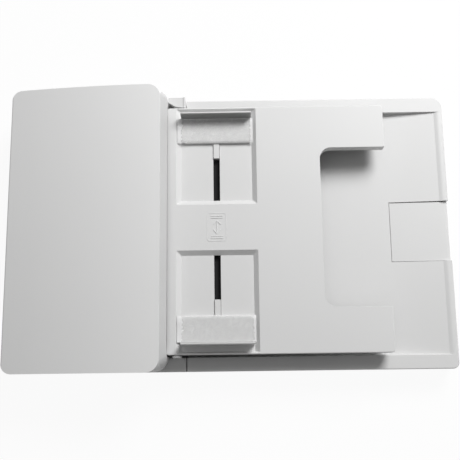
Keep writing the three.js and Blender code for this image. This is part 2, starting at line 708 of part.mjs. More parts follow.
function documentFlag() {
  const shaft = rod([flagX, flagZ], 1.5, around(flagY, 4), 12);
  const y = around(flagY, 0.9);
  const lever = alongY(
    outline([
      [flagX - 1.2, flagZ],
      [flagX + 1.6, flagZ],
      [flagX + 0.2, trayTop + 4],
      [flagX - 1.2, trayTop + 4],
    ]),
    y,
  );
  return join(shaft, lever, block([flagX - 1, flagX + 1], y, [flagZ - 11, flagZ]));
}

// The board carries the light gate that the flag's tail swings through.
function sensorBoard() {
  const board = block([flagX - 12, flagX + 8], [flagY - 8, flagY + 24], [boardZ, boardZ + 1.5]);
  const gate = block([flagX - 4, flagX + 4], [flagY - 4.5, flagY + 4.5], [boardZ + 1, boardZ + 8.5]);
  return cut(join(board, gate), block([flagX - 5, flagX + 5], around(flagY, 1.8), [boardZ + 2.6, boardZ + 13]));
}

// ---------------------------------------------------------------- cover
// The outside of the cover, or a shape inset from it.
function coverSolid(inset) {
  const top = coverTop - inset;
  const plan = (x) =>
    rounded([left + inset, x - inset], around(0, back - inset), [
      coverLeftCorner - inset,
      coverRightCorner - inset,
      coverRightCorner - inset,
      coverLeftCorner - inset,
    ]);
  const crease = left + coverWidth;
  const body = loft([
    [20, plan(mouthX)],
    [trayTop + mouthHeight, plan(mouthX)],
    [top, plan(crease)],
  ]);
  const profile = new THREE.Shape();
  profile.moveTo(mouthX + 5, 10);
  profile.lineTo(mouthX + 5, top);
  profile.lineTo(crease, top);
  profile.quadraticCurveTo(crease - 60, top, left + coverShoulder, coverLeftTop - inset);
  profile.quadraticCurveTo(left + inset, coverLeftTop - inset - 1, left + inset, coverLeftTop - inset - 8);
  profile.lineTo(left + inset, 10);
  return body.intersect(alongY(profile, around(0, back + 1), 7));
}

function cover() {
  const bottom = outline([
    [left - 1, 10],
    [mouthX + 9, 10],
    [mouthX + 9, rimHeight + 0.6],
    [left + 23, rimHeight + 0.6],
    [left + 15, rimHeight + 3],
    [left - 1, rimHeight + 3],
  ]);
  const shell = cut(
    coverSolid(0),
    coverSolid(wall),
    alongY(bottom, around(0, back + 1)),
    block([mouthX - 9, mouthX + 9], around(0, paperHalf + 1), [10, trayTop + mouthHeight]),
    block([mouthX - 9, mouthX + 9], around(0, trayHalf + 1.5), [10, trayTop + 1.2]),
  );
  const pivots = [-1, 1].map((sign) => {
    const lug = side(sign, [frameY - 5.5, frameY - 0.7]);
    const [x, z] = coverPivot;
    const arm = join(block([left + wall - 0.5, x], lug, around(z, 3.5)), rod(coverPivot, 3.5, lug, 12));
    return join(arm, rod(coverPivot, pivotPin, side(sign, [frameY - 2, frameOuterY + 1.5]), 12));
  });
  return join(shell, ...pivots);
}

// The ribbed guide under the cover: the outer side of the paper path's top run and turn.
function coverGuide() {
  const [cx, cz] = turnCentre;
  const near = feed.at[0] - 13;
  const shape = new THREE.Shape();
  shape.moveTo(near, trayTop + 4);
  shape.lineTo(near - 4, trayTop + 1);
  shape.lineTo(cx, cz + turnOuter);
  shape.absarc(cx, cz, turnOuter, Math.PI / 2, degrees(149), false);
  shape.absarc(cx, cz, turnOuter + 2, degrees(149), Math.PI / 2, true);
  shape.lineTo(near - 4, trayTop + 3);
  shape.lineTo(near, trayTop + 6);
  const plate = alongY(shape, around(0, guideHalf - 0.3), 6);
  const under = coverSolid(wall + clearance);
  const ribs = [-96, -64, -24, 24, 64, 96].map((y) =>
    block([cx - 14, near - 4], around(y, 0.9), [trayTop + 1.5, coverTop]).intersect(under),
  );
  const lugs = [-1, 1].flatMap((sign) => {
    const [y0, y1] = side(sign, tyreY);
    const [x, z] = transportPinchAt;
    return [[y0 - 3, y0 - 0.5], [y1 + 0.5, y1 + 3]].map((y) => block(around(x, 3), y, [trayTop + 1.3, z + 3]));
  });
  const windows = [-1, 1].map((sign) => {
    const [y0, y1] = side(sign, tyreY);
    return block(around(transportPinchAt[0], 7), [y0 - 0.5, y1 + 0.5], [cz, transportPinchAt[1] + 7]);
  });
  const axle = rod(transportPinchAt, axleRadius + bearing, around(0, tyreY[1] + 2.5), 12);
  return cut(join(plate, ...ribs, ...lugs), ...windows, axle);
}

// ---------------------------------------------------------------- input tray and paper guides
const recessDepth = 4;
const recessFloor = trayTop - recessDepth;
const guideX = mouthX + 44.9; // the middle of the recesses, their slots and the pinion
const recessTopHalf = 38.8;
const recessFloorHalf = 34.3;
const recessTopY = [22.2, trayHalf - 1.4];
const recessFloorY = [26.6, trayHalf - 2.8];
const cutoutX = right - 127.5;
const cutoutHalf = 77.2;
const cutoutRadius = 11;
const slotHalf = 3.1;
const rackZ = [trayTop - 8.7, trayTop - 6.1];
const guideTravel = 40;

function tray() {
  const bottom = trayTop - trayDepth;
  const body = alongZ(outline(rounded(trayX, around(0, trayHalf), [2, 3, 3, 2], 2)), [bottom, trayTop]);
  const cutoutPlan = (grow) => {
    const span = [cutoutX - grow, trayX[1] + 5];
    return outline(rounded(span, around(0, cutoutHalf + grow), [cutoutRadius + grow, 0, 0, cutoutRadius + grow], 3));
  };
  const cutout = alongZ(cutoutPlan(0), [bottom - 1, trayTop + 1]);
  const cutoutWall = alongZ(cutoutPlan(wall), [bottom - 1, trayTop + 1]);
  const inside = block([trayX[0] + wall, trayX[1] - wall], around(0, trayHalf - wall), [bottom - 1, trayTop - wall]);
  const recess = (sign) =>
    loft([
      [recessFloor, rounded(around(guideX, recessFloorHalf), side(sign, recessFloorY), [1, 1, 1, 1], 1)],
      [trayTop + 0.01, rounded(around(guideX, recessTopHalf), side(sign, recessTopY), [2, 2, 2, 2], 1)],
    ]);
  const recessSkin = (sign) =>
    block(around(guideX, recessTopHalf + 1.6), side(sign, [recessTopY[0] - 1.6, trayHalf]), [recessFloor - 1.8, trayTop]);
  const slot = (sign) => block(around(guideX, slotHalf), side(sign, [recessFloorY[0], 100]), [bottom, trayTop]);
  const pins = [-1, 1].map((sign) => {
    const reach = sign > 0 ? 8 : 4;
    return rod(trayPivot, trayPin, side(sign, [trayHalf - 1, trayHalf + reach]));
  });
  const shell = cut(body, cut(inside, recessSkin(-1), recessSkin(1), cutoutWall));
  return join(cut(shell, cutout, recess(-1), recess(1), slot(-1), slot(1)), ...pins);
}

function trayBottom() {
  const bottom = trayTop - trayDepth;
  const inset = wall + clearance;
  const plate = block([trayX[0] + inset, trayX[1] - inset], around(0, trayHalf - inset), [bottom, bottom + 1.6]);
  const keep = block([cutoutX - inset, trayX[1]], around(0, cutoutHalf + inset), [bottom - 1, trayTop]);
  return join(cut(plate, keep), post([guideX, 0], 2, [bottom + 1, rackZ[1]]));
}

// One paper guide with its rack, drawn for the back. The front one is the same piece turned half a turn.
function paperGuide() {
  const x = around(guideX, recessFloorHalf - 0.3);
  const inner = paperHalf - 25;
  const profile = outline([
    [inner, recessFloor + clearance],
    [paperHalf + 2.3, recessFloor + clearance],
    [paperHalf + 2.3, trayTop + 13],
    [paperHalf, trayTop + 13],
    [paperHalf, trayTop - 0.2],
    [inner + 2.5, trayTop - 0.2],
    [inner, recessFloor + 1.4],
  ]);
  const tab = block(around(guideX, slotHalf - clearance), [paperHalf - 39.9, inner + 4], [rackZ[0], recessFloor + 1.4]);
  const bar = block([guideX + 7.1, guideX + 10], [-5, inner], rackZ);
  const link = block([guideX - slotHalf + clearance, guideX + 10], [inner - 11, inner], rackZ);
  return join(alongX(profile, x), tab, cut(link, block([guideX + 3, guideX + 7], [0, inner - 11], rackZ)), bar, rack());
}

// The rack's teeth, one of them centred where the pinion has a gap.
function rack() {
  const pitch = Math.PI;
  const line = guideX + pitchRadius("guide");
  const teethOnRack = Array.from({ length: 15 }, (_, i) => {
    const y = (i - 1) * pitch;
    return alongZ(
      outline([
        [line + dedendum + 0.2, y - 0.29 * pitch],
        [line + dedendum + 0.2, y + 0.29 * pitch],
        [line - addendum, y + 0.11 * pitch],
        [line - addendum, y - 0.11 * pitch],
      ]),
      rackZ,
    );
  });
  return join(...teethOnRack);
}

const turnedHalf = (body) => body.translate([-guideX, 0, 0]).rotate([0, 0, 180]).translate([guideX, 0, 0]);

function guidePinion() {
  const phase = Math.PI / teeth.guide; // a gap faces each rack
  const gear = alongZ(gearShape("guide", [guideX, 0], phase), [rackZ[0], rackZ[1] - 0.2]);
  return cut(gear, post([guideX, 0], 2 + bearing, [rackZ[0] - 1, rackZ[1] + 1]));
}

// ---------------------------------------------------------------- the assembly
add("lid_shell", lidShell(), finishes.casing);
add("lid_panel", lidPanel(), finishes.casing);
add("foam_pad", padPlate(0, [sheetTop + clearance, panelBottom - clearance]), finishes.foam);
add("white_sheet", padPlate(0.5, [sheetBottom, sheetTop]), finishes.whiteSheet);
add("hinge_plate_left", hingePlate(hingePlateX[0]), finishes.plated);
add("hinge_plate_right", hingePlate(hingePlateX[1]), finishes.plated);
addPair("bumper_left", (sign) => bumper(bumperX[0], sign * bumperY), finishes.rubber);
addPair("bumper_right", (sign) => bumper(bumperX[1], sign * bumperY), finishes.rubber);
add("stop_flap", stopFlap(), finishes.casing);

add("feeder_base", feederBase(), finishes.casing);
add("lower_guide", lowerGuide(), finishes.blackPlastic);
add("inner_guide", innerGuide(), finishes.blackPlastic);
addPair("frame", frame, finishes.blackPlastic);
add("scan_backing", scanBacking(), finishes.whiteSheet);
addPair("tray_bracket", trayBracket, finishes.casing);

add("feed_shaft", rod(feed.at, shaftRadius, shaftY), finishes.steel);
add("feed_hub", tyre(feed.at, 7, shaftRadius + fit, around(0, 14)), finishes.whitePlastic);
add("feed_tyre", tyre(feed.at, feedRadius, 7 + fit, around(0, 12)), finishes.greyRubber);
add("feed_gear", wheel("feed", feed, shaftRadius + fit), finishes.whitePlastic);
add("feed_pulley", tube(feed.at, pulleyRadius, shaftRadius + fit, pulleyY), finishes.whitePlastic);
add("pickup_arm", pickupArm(), finishes.blackPlastic);
add("pickup_belt", pickupBelt(), finishes.rubber);
add("pickup_hub", pickupHub(), finishes.whitePlastic);
add("pickup_tyre", tyre(pickupAt, pickupRadius, 6 + fit, around(0, 11)), finishes.greyRubber);
add("separation_holder", separationHolder(), finishes.blackPlastic);
add("separation_pad", separationPad(), finishes.rubber);
add("separation_spring", coilSpring([feed.at[0], 0], 3.5, 0.5, [separatorBottom + clearance, trayTop - 9 - clearance], 4), finishes.steel);

add("transport_shaft", rod(transportAt, shaftRadius, shaftY), finishes.steel);
addPair(
  "transport_tyre",
  (sign) => tyre(transportAt, transportRadius, shaftRadius + fit, side(sign, tyreY)),
  finishes.greyRubber,
);
add("transport_gear", wheel("transport", { at: transportAt, phase: 0 }, shaftRadius + fit), finishes.whitePlastic);
addPair("transport_pinch", (sign) => pinch(transportPinchAt, transportPinchRadius, sign), finishes.whitePlastic);
add("exit_shaft", rod(exit.at, exitShaftRadius, shaftY), finishes.steel);
addPair(
  "exit_tyre",
  (sign) => tyre(exit.at, exitRadius, exitShaftRadius + fit, side(sign, tyreY)),
  finishes.greyRubber,
);
add("exit_gear", wheel("exit", exit, exitShaftRadius + fit), finishes.whitePlastic);
addPair("exit_pinch", (sign) => pinch(exitPinchAt, exitPinchRadius, sign), finishes.whitePlastic);

add("motor", motorBody(), finishes.plated);
add("motor_pinion", motorPinion(), finishes.whitePlastic);
add("centre_gear", wheel("centre", centre, 2.5 + bearing), finishes.whitePlastic);
add("idler_gear", wheel("idler", idler, 2 + bearing), finishes.whitePlastic);
add("gear_plate", gearPlate(), finishes.plated);
add("document_flag", documentFlag(), finishes.blackPlastic);
add("sensor_board", sensorBoard(), finishes.board);

add("cover", cover(), finishes.casing);
add("cover_guide", coverGuide(), finishes.blackPlastic);

add("tray", tray(), finishes.tray);
add("tray_bottom", trayBottom(), finishes.blackPlastic);
add("guide_rear", paperGuide(), finishes.guide);
add("guide_front", turnedHalf(paperGuide()), finishes.guide);
add("guide_pinion", guidePinion(), finishes.whitePlastic);

export default unit;
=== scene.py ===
# %% [markdown]
# # A document feeder on a scanner's lid, dressed for its portrait
#
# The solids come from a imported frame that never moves: it says where every piece is and what turns
# with what. This lesson gives those solids their looks. Large mouldings are modelled again with the
# soft edges, ribs and parting lines of injection moulding, and every surface gets a finish made of
# nodes. Lengths are written in millimetres and turned into metres where a Blender call needs them.

import json
import math

import bmesh
import bpy
from mathutils import Matrix, Vector

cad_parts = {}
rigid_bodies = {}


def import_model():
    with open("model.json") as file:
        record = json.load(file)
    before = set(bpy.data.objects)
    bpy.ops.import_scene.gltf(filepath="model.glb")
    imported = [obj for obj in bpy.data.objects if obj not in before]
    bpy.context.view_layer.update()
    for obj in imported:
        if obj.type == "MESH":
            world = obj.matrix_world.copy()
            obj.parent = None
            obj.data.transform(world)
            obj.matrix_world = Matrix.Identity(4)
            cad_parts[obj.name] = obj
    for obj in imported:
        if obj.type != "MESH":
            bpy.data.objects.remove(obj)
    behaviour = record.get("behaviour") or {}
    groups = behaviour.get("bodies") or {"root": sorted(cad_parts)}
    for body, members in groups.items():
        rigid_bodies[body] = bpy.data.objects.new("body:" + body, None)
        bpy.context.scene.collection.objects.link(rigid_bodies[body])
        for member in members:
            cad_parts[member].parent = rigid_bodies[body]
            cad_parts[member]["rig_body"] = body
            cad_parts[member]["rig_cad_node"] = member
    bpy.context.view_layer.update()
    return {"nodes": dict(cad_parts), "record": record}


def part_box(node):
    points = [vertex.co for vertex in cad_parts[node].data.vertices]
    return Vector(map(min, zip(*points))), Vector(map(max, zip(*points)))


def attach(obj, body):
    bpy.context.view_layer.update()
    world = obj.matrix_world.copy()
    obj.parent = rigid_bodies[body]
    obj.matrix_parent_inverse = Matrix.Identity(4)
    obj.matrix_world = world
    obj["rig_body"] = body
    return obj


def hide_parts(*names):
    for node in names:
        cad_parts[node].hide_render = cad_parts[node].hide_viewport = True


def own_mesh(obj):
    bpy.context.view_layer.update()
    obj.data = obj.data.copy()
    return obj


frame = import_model()
mm = 0.001

# %% [markdown]
# ## Sizes
#
# Each new piece takes its place from the solid that it stands for. `size_of` reads a solid's box
# in millimetres as three spans, so the lines below can speak of a left edge or a top.

# %% Read the boxes of the solids


def size_of(node):
    """A solid's box as three spans, (x0, x1), (y0, y1) and (z0, z1), in millimetres."""
    low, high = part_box(node)
    return [(round(a / mm, 3), round(b / mm, 3)) for a, b in zip(low, high)]


LID, BASE, HOOD = size_of("lid_shell"), size_of("feeder_base"), size_of("cover")
TRAY, UNDERTRAY, GUIDE = size_of("tray"), size_of("tray_bottom"), size_of("guide_rear")
left, right = BASE[0][0], LID[0][1]
back, rim = LID[1][1], LID[2][1]
wall = 2.2
print("unit", right - left, "by", 2 * back, "by", HOOD[2][1])

# %% [markdown]
# ## Camera
#
# The portrait is taken from almost straight above, a little in front of the middle, with a normal
# lens. A camera looks along its own -Z, so its matrix is written as three columns: right, up and
# back. From so near, the tall cover leans outwards in the picture and hides its own left wall.

# %% Set up the camera
eye = Vector((1.68, -134.11, 727.43)) * mm
turn = Matrix(
    (
        (0.9998787, 0.0141800, 0.0064391),
        (-0.0127014, 0.9817614, -0.1896925),
        (-0.0090115, 0.1895877, 0.9818224),
    )
)
lens = bpy.data.cameras.new("portrait_lens")
lens.lens = 56.92
lens.sensor_width = 36
lens.clip_start = 0.01
camera = bpy.data.objects.new("portrait_camera", lens)
camera.matrix_world = Matrix.Translation(eye) @ turn.to_4x4()
bpy.context.scene.collection.objects.link(camera)
bpy.context.scene.camera = camera
print("camera", round(eye.length, 3), "m from the origin")

# %% [markdown]
# ## Light
#
# One soft lamp stands behind the unit and to its right, about forty-five degrees up, so that walls
# which face the back or the right are bright and the tray throws its shadow forwards and left. It
# stands near, so the light falls off towards the front and the left. The world fills the shadows
# to about a fifth of the full light. Together they give a level plane about one unit of light, so
# a colour renders as written. The world looks white to the camera and in reflections only.

# %% Hang the lamp and set the world
lamp = bpy.data.lights.new("window_lamp", "AREA")
lamp.shape = "RECTANGLE"
lamp.size, lamp.size_y = 0.62, 0.56
lamp.energy = 19.4
key = bpy.data.objects.new("window_lamp", lamp)
key.location = (0.57, 0.77, 1.0)
key.rotation_euler = key.location.to_track_quat("Z", "Y").to_euler()
bpy.context.scene.collection.objects.link(key)

world = bpy.data.worlds.new("pale_room")
bpy.context.scene.world = world
world.use_nodes = True
sky = world.node_tree
sky.nodes.clear()
paths = sky.nodes.new("ShaderNodeLightPath")
choice = sky.nodes.new("ShaderNodeMixShader")
shown = paths.outputs["Is Camera Ray"]
for ray in ("Is Glossy Ray", "Is Transmission Ray"):
    either = sky.nodes.new("ShaderNodeMath")
    either.operation = "MAXIMUM"
    sky.links.new(shown, either.inputs[0])
    sky.links.new(paths.outputs[ray], either.inputs[1])
    shown = either.outputs[0]
sky.links.new(shown, choice.inputs[0])
fill_light, seen_white = 0.18, 1.0
for entry, strength in enumerate((fill_light, seen_white), 1):
    light = sky.nodes.new("ShaderNodeBackground")
    light.inputs["Color"].default_value = (1, 1, 1, 1)
    light.inputs["Strength"].default_value = strength
    sky.links.new(light.outputs[0], choice.inputs[entry])
sky.links.new(choice.outputs[0], sky.nodes.new("ShaderNodeOutputWorld").inputs[0])
bpy.context.scene.view_settings.view_transform = "Standard"
print("lamp", lamp.energy, "W at", round(key.location.length, 2), "m")

# %% [markdown]
# ## Finishes
#
# A finish is a small tree of nodes. Writing it as sums keeps it readable, so `Value` wraps a
# socket and turns +, - and * into Math nodes, in either order. `Finish` owns the material and
# makes any other node from its type, its settings and what its sockets take. Patterns read Object
# coordinates: every piece sits at the origin, so one metre in the pattern is one metre on it.

# %% A small language for finishes


class Value:
    """A number that changes over the surface, which takes part in sums."""

    def __init__(self, finish, socket):
        self.finish, self.socket = finish, socket

    def math(self, operation, first, second):
        return self.finish.node("ShaderNodeMath", {"operation": operation}, {0: first, 1: second})

    def __add__(self, other):
        return self.math("ADD", self, other)

    def __sub__(self, other):
        return self.math("SUBTRACT", self, other)

    def __rsub__(self, other):
        return self.math("SUBTRACT", other, self)

    def __mul__(self, other):
        return self.math("MULTIPLY", self, other)

    __radd__, __rmul__ = __add__, __mul__

    def above(self, edge):
        return self.math("GREATER_THAN", self, edge)

    def between(self, low, high):
        """1 between two places in millimetres, and 0 elsewhere."""
        return self.above(low * mm) * (high * mm - self).above(0)


class Finish:
    """A material on one Principled surface."""

    def __init__(self, name, **fixed):
        self.material = bpy.data.materials.new(name)
        self.material.use_nodes = True
        self.tree = self.material.node_tree
        self.surface = self.tree.nodes["Principled BSDF"]
        self.place = self.node("ShaderNodeTexCoord", {}, {}, "Object")
        self.give(**fixed)

    def node(self, kind, settings, sockets, output=0):
        made = self.tree.nodes.new(kind)
        for name, value in settings.items():
            if name == "stops":
                for stop, (at, colour) in zip(made.color_ramp.elements, value):
                    stop.position, stop.color = at, colour
            else:
                setattr(made, name, value)
        for name, value in sockets.items():
            self.feed(made.inputs[name], value)
        return Value(self, made.outputs[output])

    def feed(self, socket, value):
        if isinstance(value, Value):
            self.tree.links.new(value.socket, socket)
        else:
            socket.default_value = value

    def give(self, **sockets):
        """Sets the surface's sockets; their names are written with _ for a space."""
        for name, value in sockets.items():
            self.feed(self.surface.inputs[name.replace("_", " ")], value)

    def stretched(self, x=1, y=1, z=1):
        return self.node("ShaderNodeMapping", {}, {"Vector": self.place, "Scale": (x, y, z)})

    def noise(self, scale, detail=2, rough=0.5, place=None):
        inputs = {"Scale": scale, "Detail": detail, "Roughness": rough}
        inputs["Vector"] = place or self.place
        return self.node("ShaderNodeTexNoise", {"noise_dimensions": "3D"}, inputs)

    def cells(self, scale, feature="F1"):
        inputs = {"Vector": self.place, "Scale": scale}
        return self.node("ShaderNodeTexVoronoi", {"feature": feature}, inputs, "Distance")

    def axes(self):
        split = self.node("ShaderNodeSeparateXYZ", {}, {0: self.place})
        return [Value(self, socket) for socket in split.socket.node.outputs]

    def blend(self, share, first, second):
        first, second = (c if isinstance(c, Value) else (*c, 1) for c in (first, second))
        return self.node("ShaderNodeMix", {"data_type": "RGBA"}, {0: share, 6: first, 7: second}, 2)

    def bump(self, height, strength, distance):
        sockets = {"Height": height, "Strength": strength, "Distance": distance * mm}
        self.give(Normal=self.node("ShaderNodeBump", {}, sockets))


print("finishes can be written as sums")

# %% [markdown]
# ## The pale mouldings
#
# The casing is impact-resistant polystyrene from a spark-eroded mould: a very fine, even grain a
# few tenths of a millimetre across, half matt. Over it lies a slow cloudiness, from flow in the
# mould and from handling, which changes the colour by a few percent. The paper guides are
# smoother, so that sheets slide on them, and the inner face of each fence is painted dark grey,
# a painted shade. The hood's top is painted a shade paler than the rest, a painted light, and its
# steep right wall a shade greyer, a painted shade, so in its finish the place decides.

# %% Make the finishes of the pale mouldings


def moulded(name, colour, darker, roughness, grain):
    made = Finish(name, Specular_IOR_Level=0.45)
    cloud = made.noise(9, 3, 0.55)
    speck = made.noise(950, 2, 0.6)
    made.share = cloud * 0.75 + speck * 0.25
    made.give(Base_Color=made.blend(made.share, darker, colour))
    made.give(Roughness=roughness - 0.05 + speck * 0.08 + cloud * 0.03)
    made.bump(speck + made.noise(2600, 1) * 0.5, grain, 0.02)
    return made


PALE, PALE_LOW = (0.7, 0.7, 0.697), (0.664, 0.664, 0.662)
# Painted light: the hood's top is paler than the casing. Painted shade: its steep right wall is
# greyer.
HOOD_PAINTED_LIGHT, HOOD_PAINTED_LIGHT_LOW = (0.785, 0.785, 0.782), (0.745, 0.745, 0.743)
FOOT_PAINTED_SHADE, FOOT_PAINTED_SHADE_LOW = (0.622, 0.622, 0.62), (0.59, 0.59, 0.588)
# The last of these is the painted shade on each fence's inner face.
GUIDE_PALE, GUIDE_LOW, FENCE_PAINTED_SHADE = (0.7, 0.7, 0.696), (0.66, 0.66, 0.657), (0.26, 0.26, 0.258)
foot_begins, sledge_top = -67.3, 49.4


def hood_casing():
    made = moulded("spark_eroded_hood_painted_light_and_shade", PALE, PALE_LOW, 0.52, 0.35)
    painted_light_top = made.blend(made.share, HOOD_PAINTED_LIGHT_LOW, HOOD_PAINTED_LIGHT)
    painted_shade_foot = made.blend(made.share, FOOT_PAINTED_SHADE_LOW, FOOT_PAINTED_SHADE)
    # Right of foot_begins the steep wall takes the painted shade; the rest of the hood takes the
    # painted light.
    steep = made.axes()[0].above(foot_begins * mm)
    made.give(Base_Color=made.blend(steep, painted_light_top, painted_shade_foot))
    return made.material


def guide_plastic():
    made = moulded("smooth_guide_plastic_painted_shade", GUIDE_PALE, GUIDE_LOW, 0.38, 0.12)
    _, y, z = made.axes()
    # The inner face of each fence gets a painted shade of dark grey.
    fence_face_painted_shade = (y.between(108, 109.6) + y.between(-108.9, -108)) * z.above(sledge_top * mm)
    pale = made.blend(made.share, GUIDE_LOW, GUIDE_PALE)
    made.give(Base_Color=made.blend(fence_face_painted_shade, pale, FENCE_PAINTED_SHADE))
    return made.material


finishes = {
    "guide": guide_plastic(),
    "casing": moulded("spark_eroded_casing", PALE, PALE_LOW, 0.52, 0.35).material,
    "tray": moulded("spark_eroded_tray", PALE, PALE_LOW, 0.5, 0.35).material,
}
hood_finish = hood_casing()
print(len(finishes) + 1, "pale finishes")

# %% [markdown]
# ## The pieces inside
#
# Paper paths are black so that stray light doesn't reach the scanner, and their mould marks run
# along the sheet. Gears and hubs are natural acetal: slightly yellow, waxy, a little translucent.
# Rollers are ground, which leaves rings round them, so the pattern is squeezed along Y only.

# %% Make the finishes of the pieces inside


def black_plastic():
    made = Finish("black_path_plastic", Specular_IOR_Level=0.4)
    streak = made.noise(60, 3, 0.6, made.stretched(1, 9, 1))
    grain = made.noise(1500, 2)
    made.give(Base_Color=made.blend(streak, (0.018, 0.0185, 0.02), (0.034, 0.035, 0.037)))
    made.give(Roughness=0.42 + streak * 0.16)
    made.bump(grain + streak * 0.6, 0.35, 0.03)
    return made.material


def sooty_black():
    made = Finish("matt_black_plastic", Specular_IOR_Level=0.12)
    grain, haze = made.noise(1300, 2), made.noise(40, 3)
    made.give(Base_Color=made.blend(haze, (0.016, 0.016, 0.017), (0.028, 0.028, 0.029)))
    made.give(Roughness=0.75 + grain * 0.1)
    made.bump(grain, 0.3, 0.03)
    return made.material


def acetal():
    made = Finish("natural_acetal", Subsurface_Weight=0.12, Subsurface_Scale=0.004)
    cloud = made.noise(45, 2)
    made.give(Base_Color=made.blend(cloud, (0.74, 0.7, 0.62), (0.82, 0.79, 0.72)))
    made.give(Roughness=0.3 + made.noise(700, 2) * 0.15)
    made.bump(made.noise(900, 2), 0.15, 0.02)
    return made.material


def rubber(name, colour, lighter, rings):
    made = Finish(name, Specular_IOR_Level=0.3)
    ring = made.noise(55, 3, 0.6, made.stretched(1, rings, 1))
    dust = made.noise(160, 4, 0.7)
    made.give(Base_Color=made.blend(ring * 0.5 + dust * 0.5, colour, lighter))
    made.give(Roughness=0.68 + dust * 0.2)
    made.bump(ring + dust * 0.5, 0.5, 0.05)
    return made.material


def metal(name, colour, darker, roughness, squeeze):
    made = Finish(name, Metallic=1.0)
    line = made.noise(40, 4, 0.65, made.stretched(*squeeze))
    made.give(Base_Color=made.blend(line, darker, colour))
    made.give(Roughness=roughness + line * 0.16)
    made.bump(line, 0.25, 0.02)
    return made.material


def zinc_plated():
    made = Finish("zinc_plated_sheet", Metallic=1.0)
    spangle = made.cells(150)
    haze = made.noise(30, 3)
    made.give(Base_Color=made.blend(haze, (0.5, 0.5, 0.47), (0.64, 0.66, 0.7)))
    made.give(Roughness=0.26 + spangle * 0.14 + haze * 0.12)
    made.bump(spangle + haze, 0.12, 0.03)
    return made.material


black, dusty_black = (0.014, 0.014, 0.013), (0.032, 0.032, 0.03)
grey_black, dusty_grey = (0.045, 0.048, 0.052), (0.085, 0.09, 0.095)
bright, dull = (0.62, 0.63, 0.65), (0.45, 0.46, 0.48)
finishes["black_plastic"] = black_plastic()
finishes["white_plastic"] = acetal()
finishes["bumper_rubber"] = rubber("soft_black_rubber", black, dusty_black, 1)
finishes["roller_rubber"] = rubber("ground_roller_rubber", grey_black, dusty_grey, 22)
finishes["steel"] = metal("ground_steel", bright, dull, 0.16, (1, 26, 1))
finishes["plated_steel"] = zinc_plated()
print(len(finishes), "finishes so far")

# %% [markdown]
# ## Pad, white sheet and circuit board
#
# The pad under the lid is closed-cell foam: small round cells of different sizes, cut through at
# the surface. The white sheet on it is a smooth film that gives scans their white background. The
# circuit board has green solder mask over copper, whose tracks show as slightly paler, raised
# lines. At the end of this cell, every solid of the frame gets the finish of its material.

# %% Make the finishes of pad, sheet and board


def foam():
    made = Finish("closed_cell_foam", Specular_IOR_Level=0.2)
    cell = made.cells(900)
    # Each cell is darker towards its middle, where the bump sinks it: painted shade in the pits.
    made.give(Base_Color=made.blend(cell * 1.4, (0.5, 0.5, 0.49), (0.66, 0.66, 0.65)))
    made.give(Roughness=0.85 + cell * 0.1)
    made.bump(cell, 0.7, 0.25)
    return made.material


def white_film():
    made = Finish("white_scan_film", Specular_IOR_Level=0.5)
    haze = made.noise(14, 3)
    made.give(Base_Color=made.blend(haze, (0.83, 0.83, 0.825), (0.87, 0.87, 0.865)))
    made.give(Roughness=0.3 + haze * 0.12)
    made.bump(haze, 0.2, 0.1)
    return made.material


def solder_mask():
    made = Finish("green_solder_mask", Coat_Weight=0.3, Coat_Roughness=0.2)
    bands = {"Vector": made.place, "Scale": 260.0, "Distortion": 1.5}
    track = made.node("ShaderNodeTexWave", {"bands_direction": "DIAGONAL"}, bands, 1).above(0.6)
    made.give(Base_Color=made.blend(track, (0.008, 0.075, 0.03), (0.02, 0.15, 0.06)))
    made.give(Roughness=0.32 + made.noise(400, 2) * 0.1)
    made.bump(track, 0.4, 0.035)
    return made.material


finishes["foam"] = foam()
finishes["white_sheet"] = white_film()
finishes["board"] = solder_mask()
for row in frame["record"]["subparts"]:
    node = frame["nodes"][row["node"]]
    node.data.materials.clear()
    node.data.materials.append(finishes[row["material_slot"]])
print("every solid has one of", len(finishes), "finishes")

# %% [markdown]
# ## Working on one piece
#
# An operator acts on all that is selected, so each step below first selects exactly what it means.
# `edit` opens one piece, and `choose` selects its corners, edges or faces by where they are.

# %% Select by place


def rest():
    """Leaves edit mode and deselects everything."""
    if bpy.context.object and bpy.context.object.mode != "OBJECT":
        bpy.ops.object.mode_set(mode="OBJECT")
    bpy.ops.object.select_all(action="DESELECT")


def only(*chosen):
    rest()
    for piece in chosen:
        piece.select_set(True)
    bpy.context.view_layer.objects.active = chosen[0]


def edit(piece, kind="FACE"):
    only(piece)
    bpy.ops.object.mode_set(mode="EDIT")
    bpy.ops.mesh.select_mode(type=kind)
    bpy.ops.mesh.select_all(action="DESELECT")


def middle(part):
    """The middle of an edge or a face, or a corner's own place, in millimetres."""
    corners = getattr(part, "verts", [part])
    return sum((corner.co for corner in corners), Vector()) / len(corners) / mm


def choose(piece, kind, wanted):
    """Selects the verts, edges or faces of the piece in edit mode that wanted() accepts."""
    shape = bmesh.from_edit_mesh(piece.data)
    for part in [part for part in getattr(shape, kind) if wanted(part)]:
        part.select_set(True)
    bmesh.update_edit_mesh(piece.data)


print("ready to select by place")

# %% [markdown]
# ## Blocks, bars and drawn outlines
#
# Three starts are enough for mouldings. A block is a cube at its size and place. A bar is a
# cylinder. Anything else is an outline: one corner, extruded from point to point as a pen would
# draw it, filled, its sharp corners rounded where a radius is given, and pulled along an axis.

# %% Make blocks, bars and outlines


def settled():
    """Moves the new object's place, turn and size into its mesh."""
    bpy.ops.object.transform_apply(location=True, rotation=True, scale=True)
    return bpy.context.object


def block(x, y, z):
    """A box between two X, two Y and two Z values."""
    rest()
    spans = (x, y, z)
    bpy.ops.mesh.primitive_cube_add(
        size=1,
        location=[(a + b) / 2 * mm for a, b in spans],
        scale=[abs(b - a) * mm for a, b in spans],
    )
    return settled()


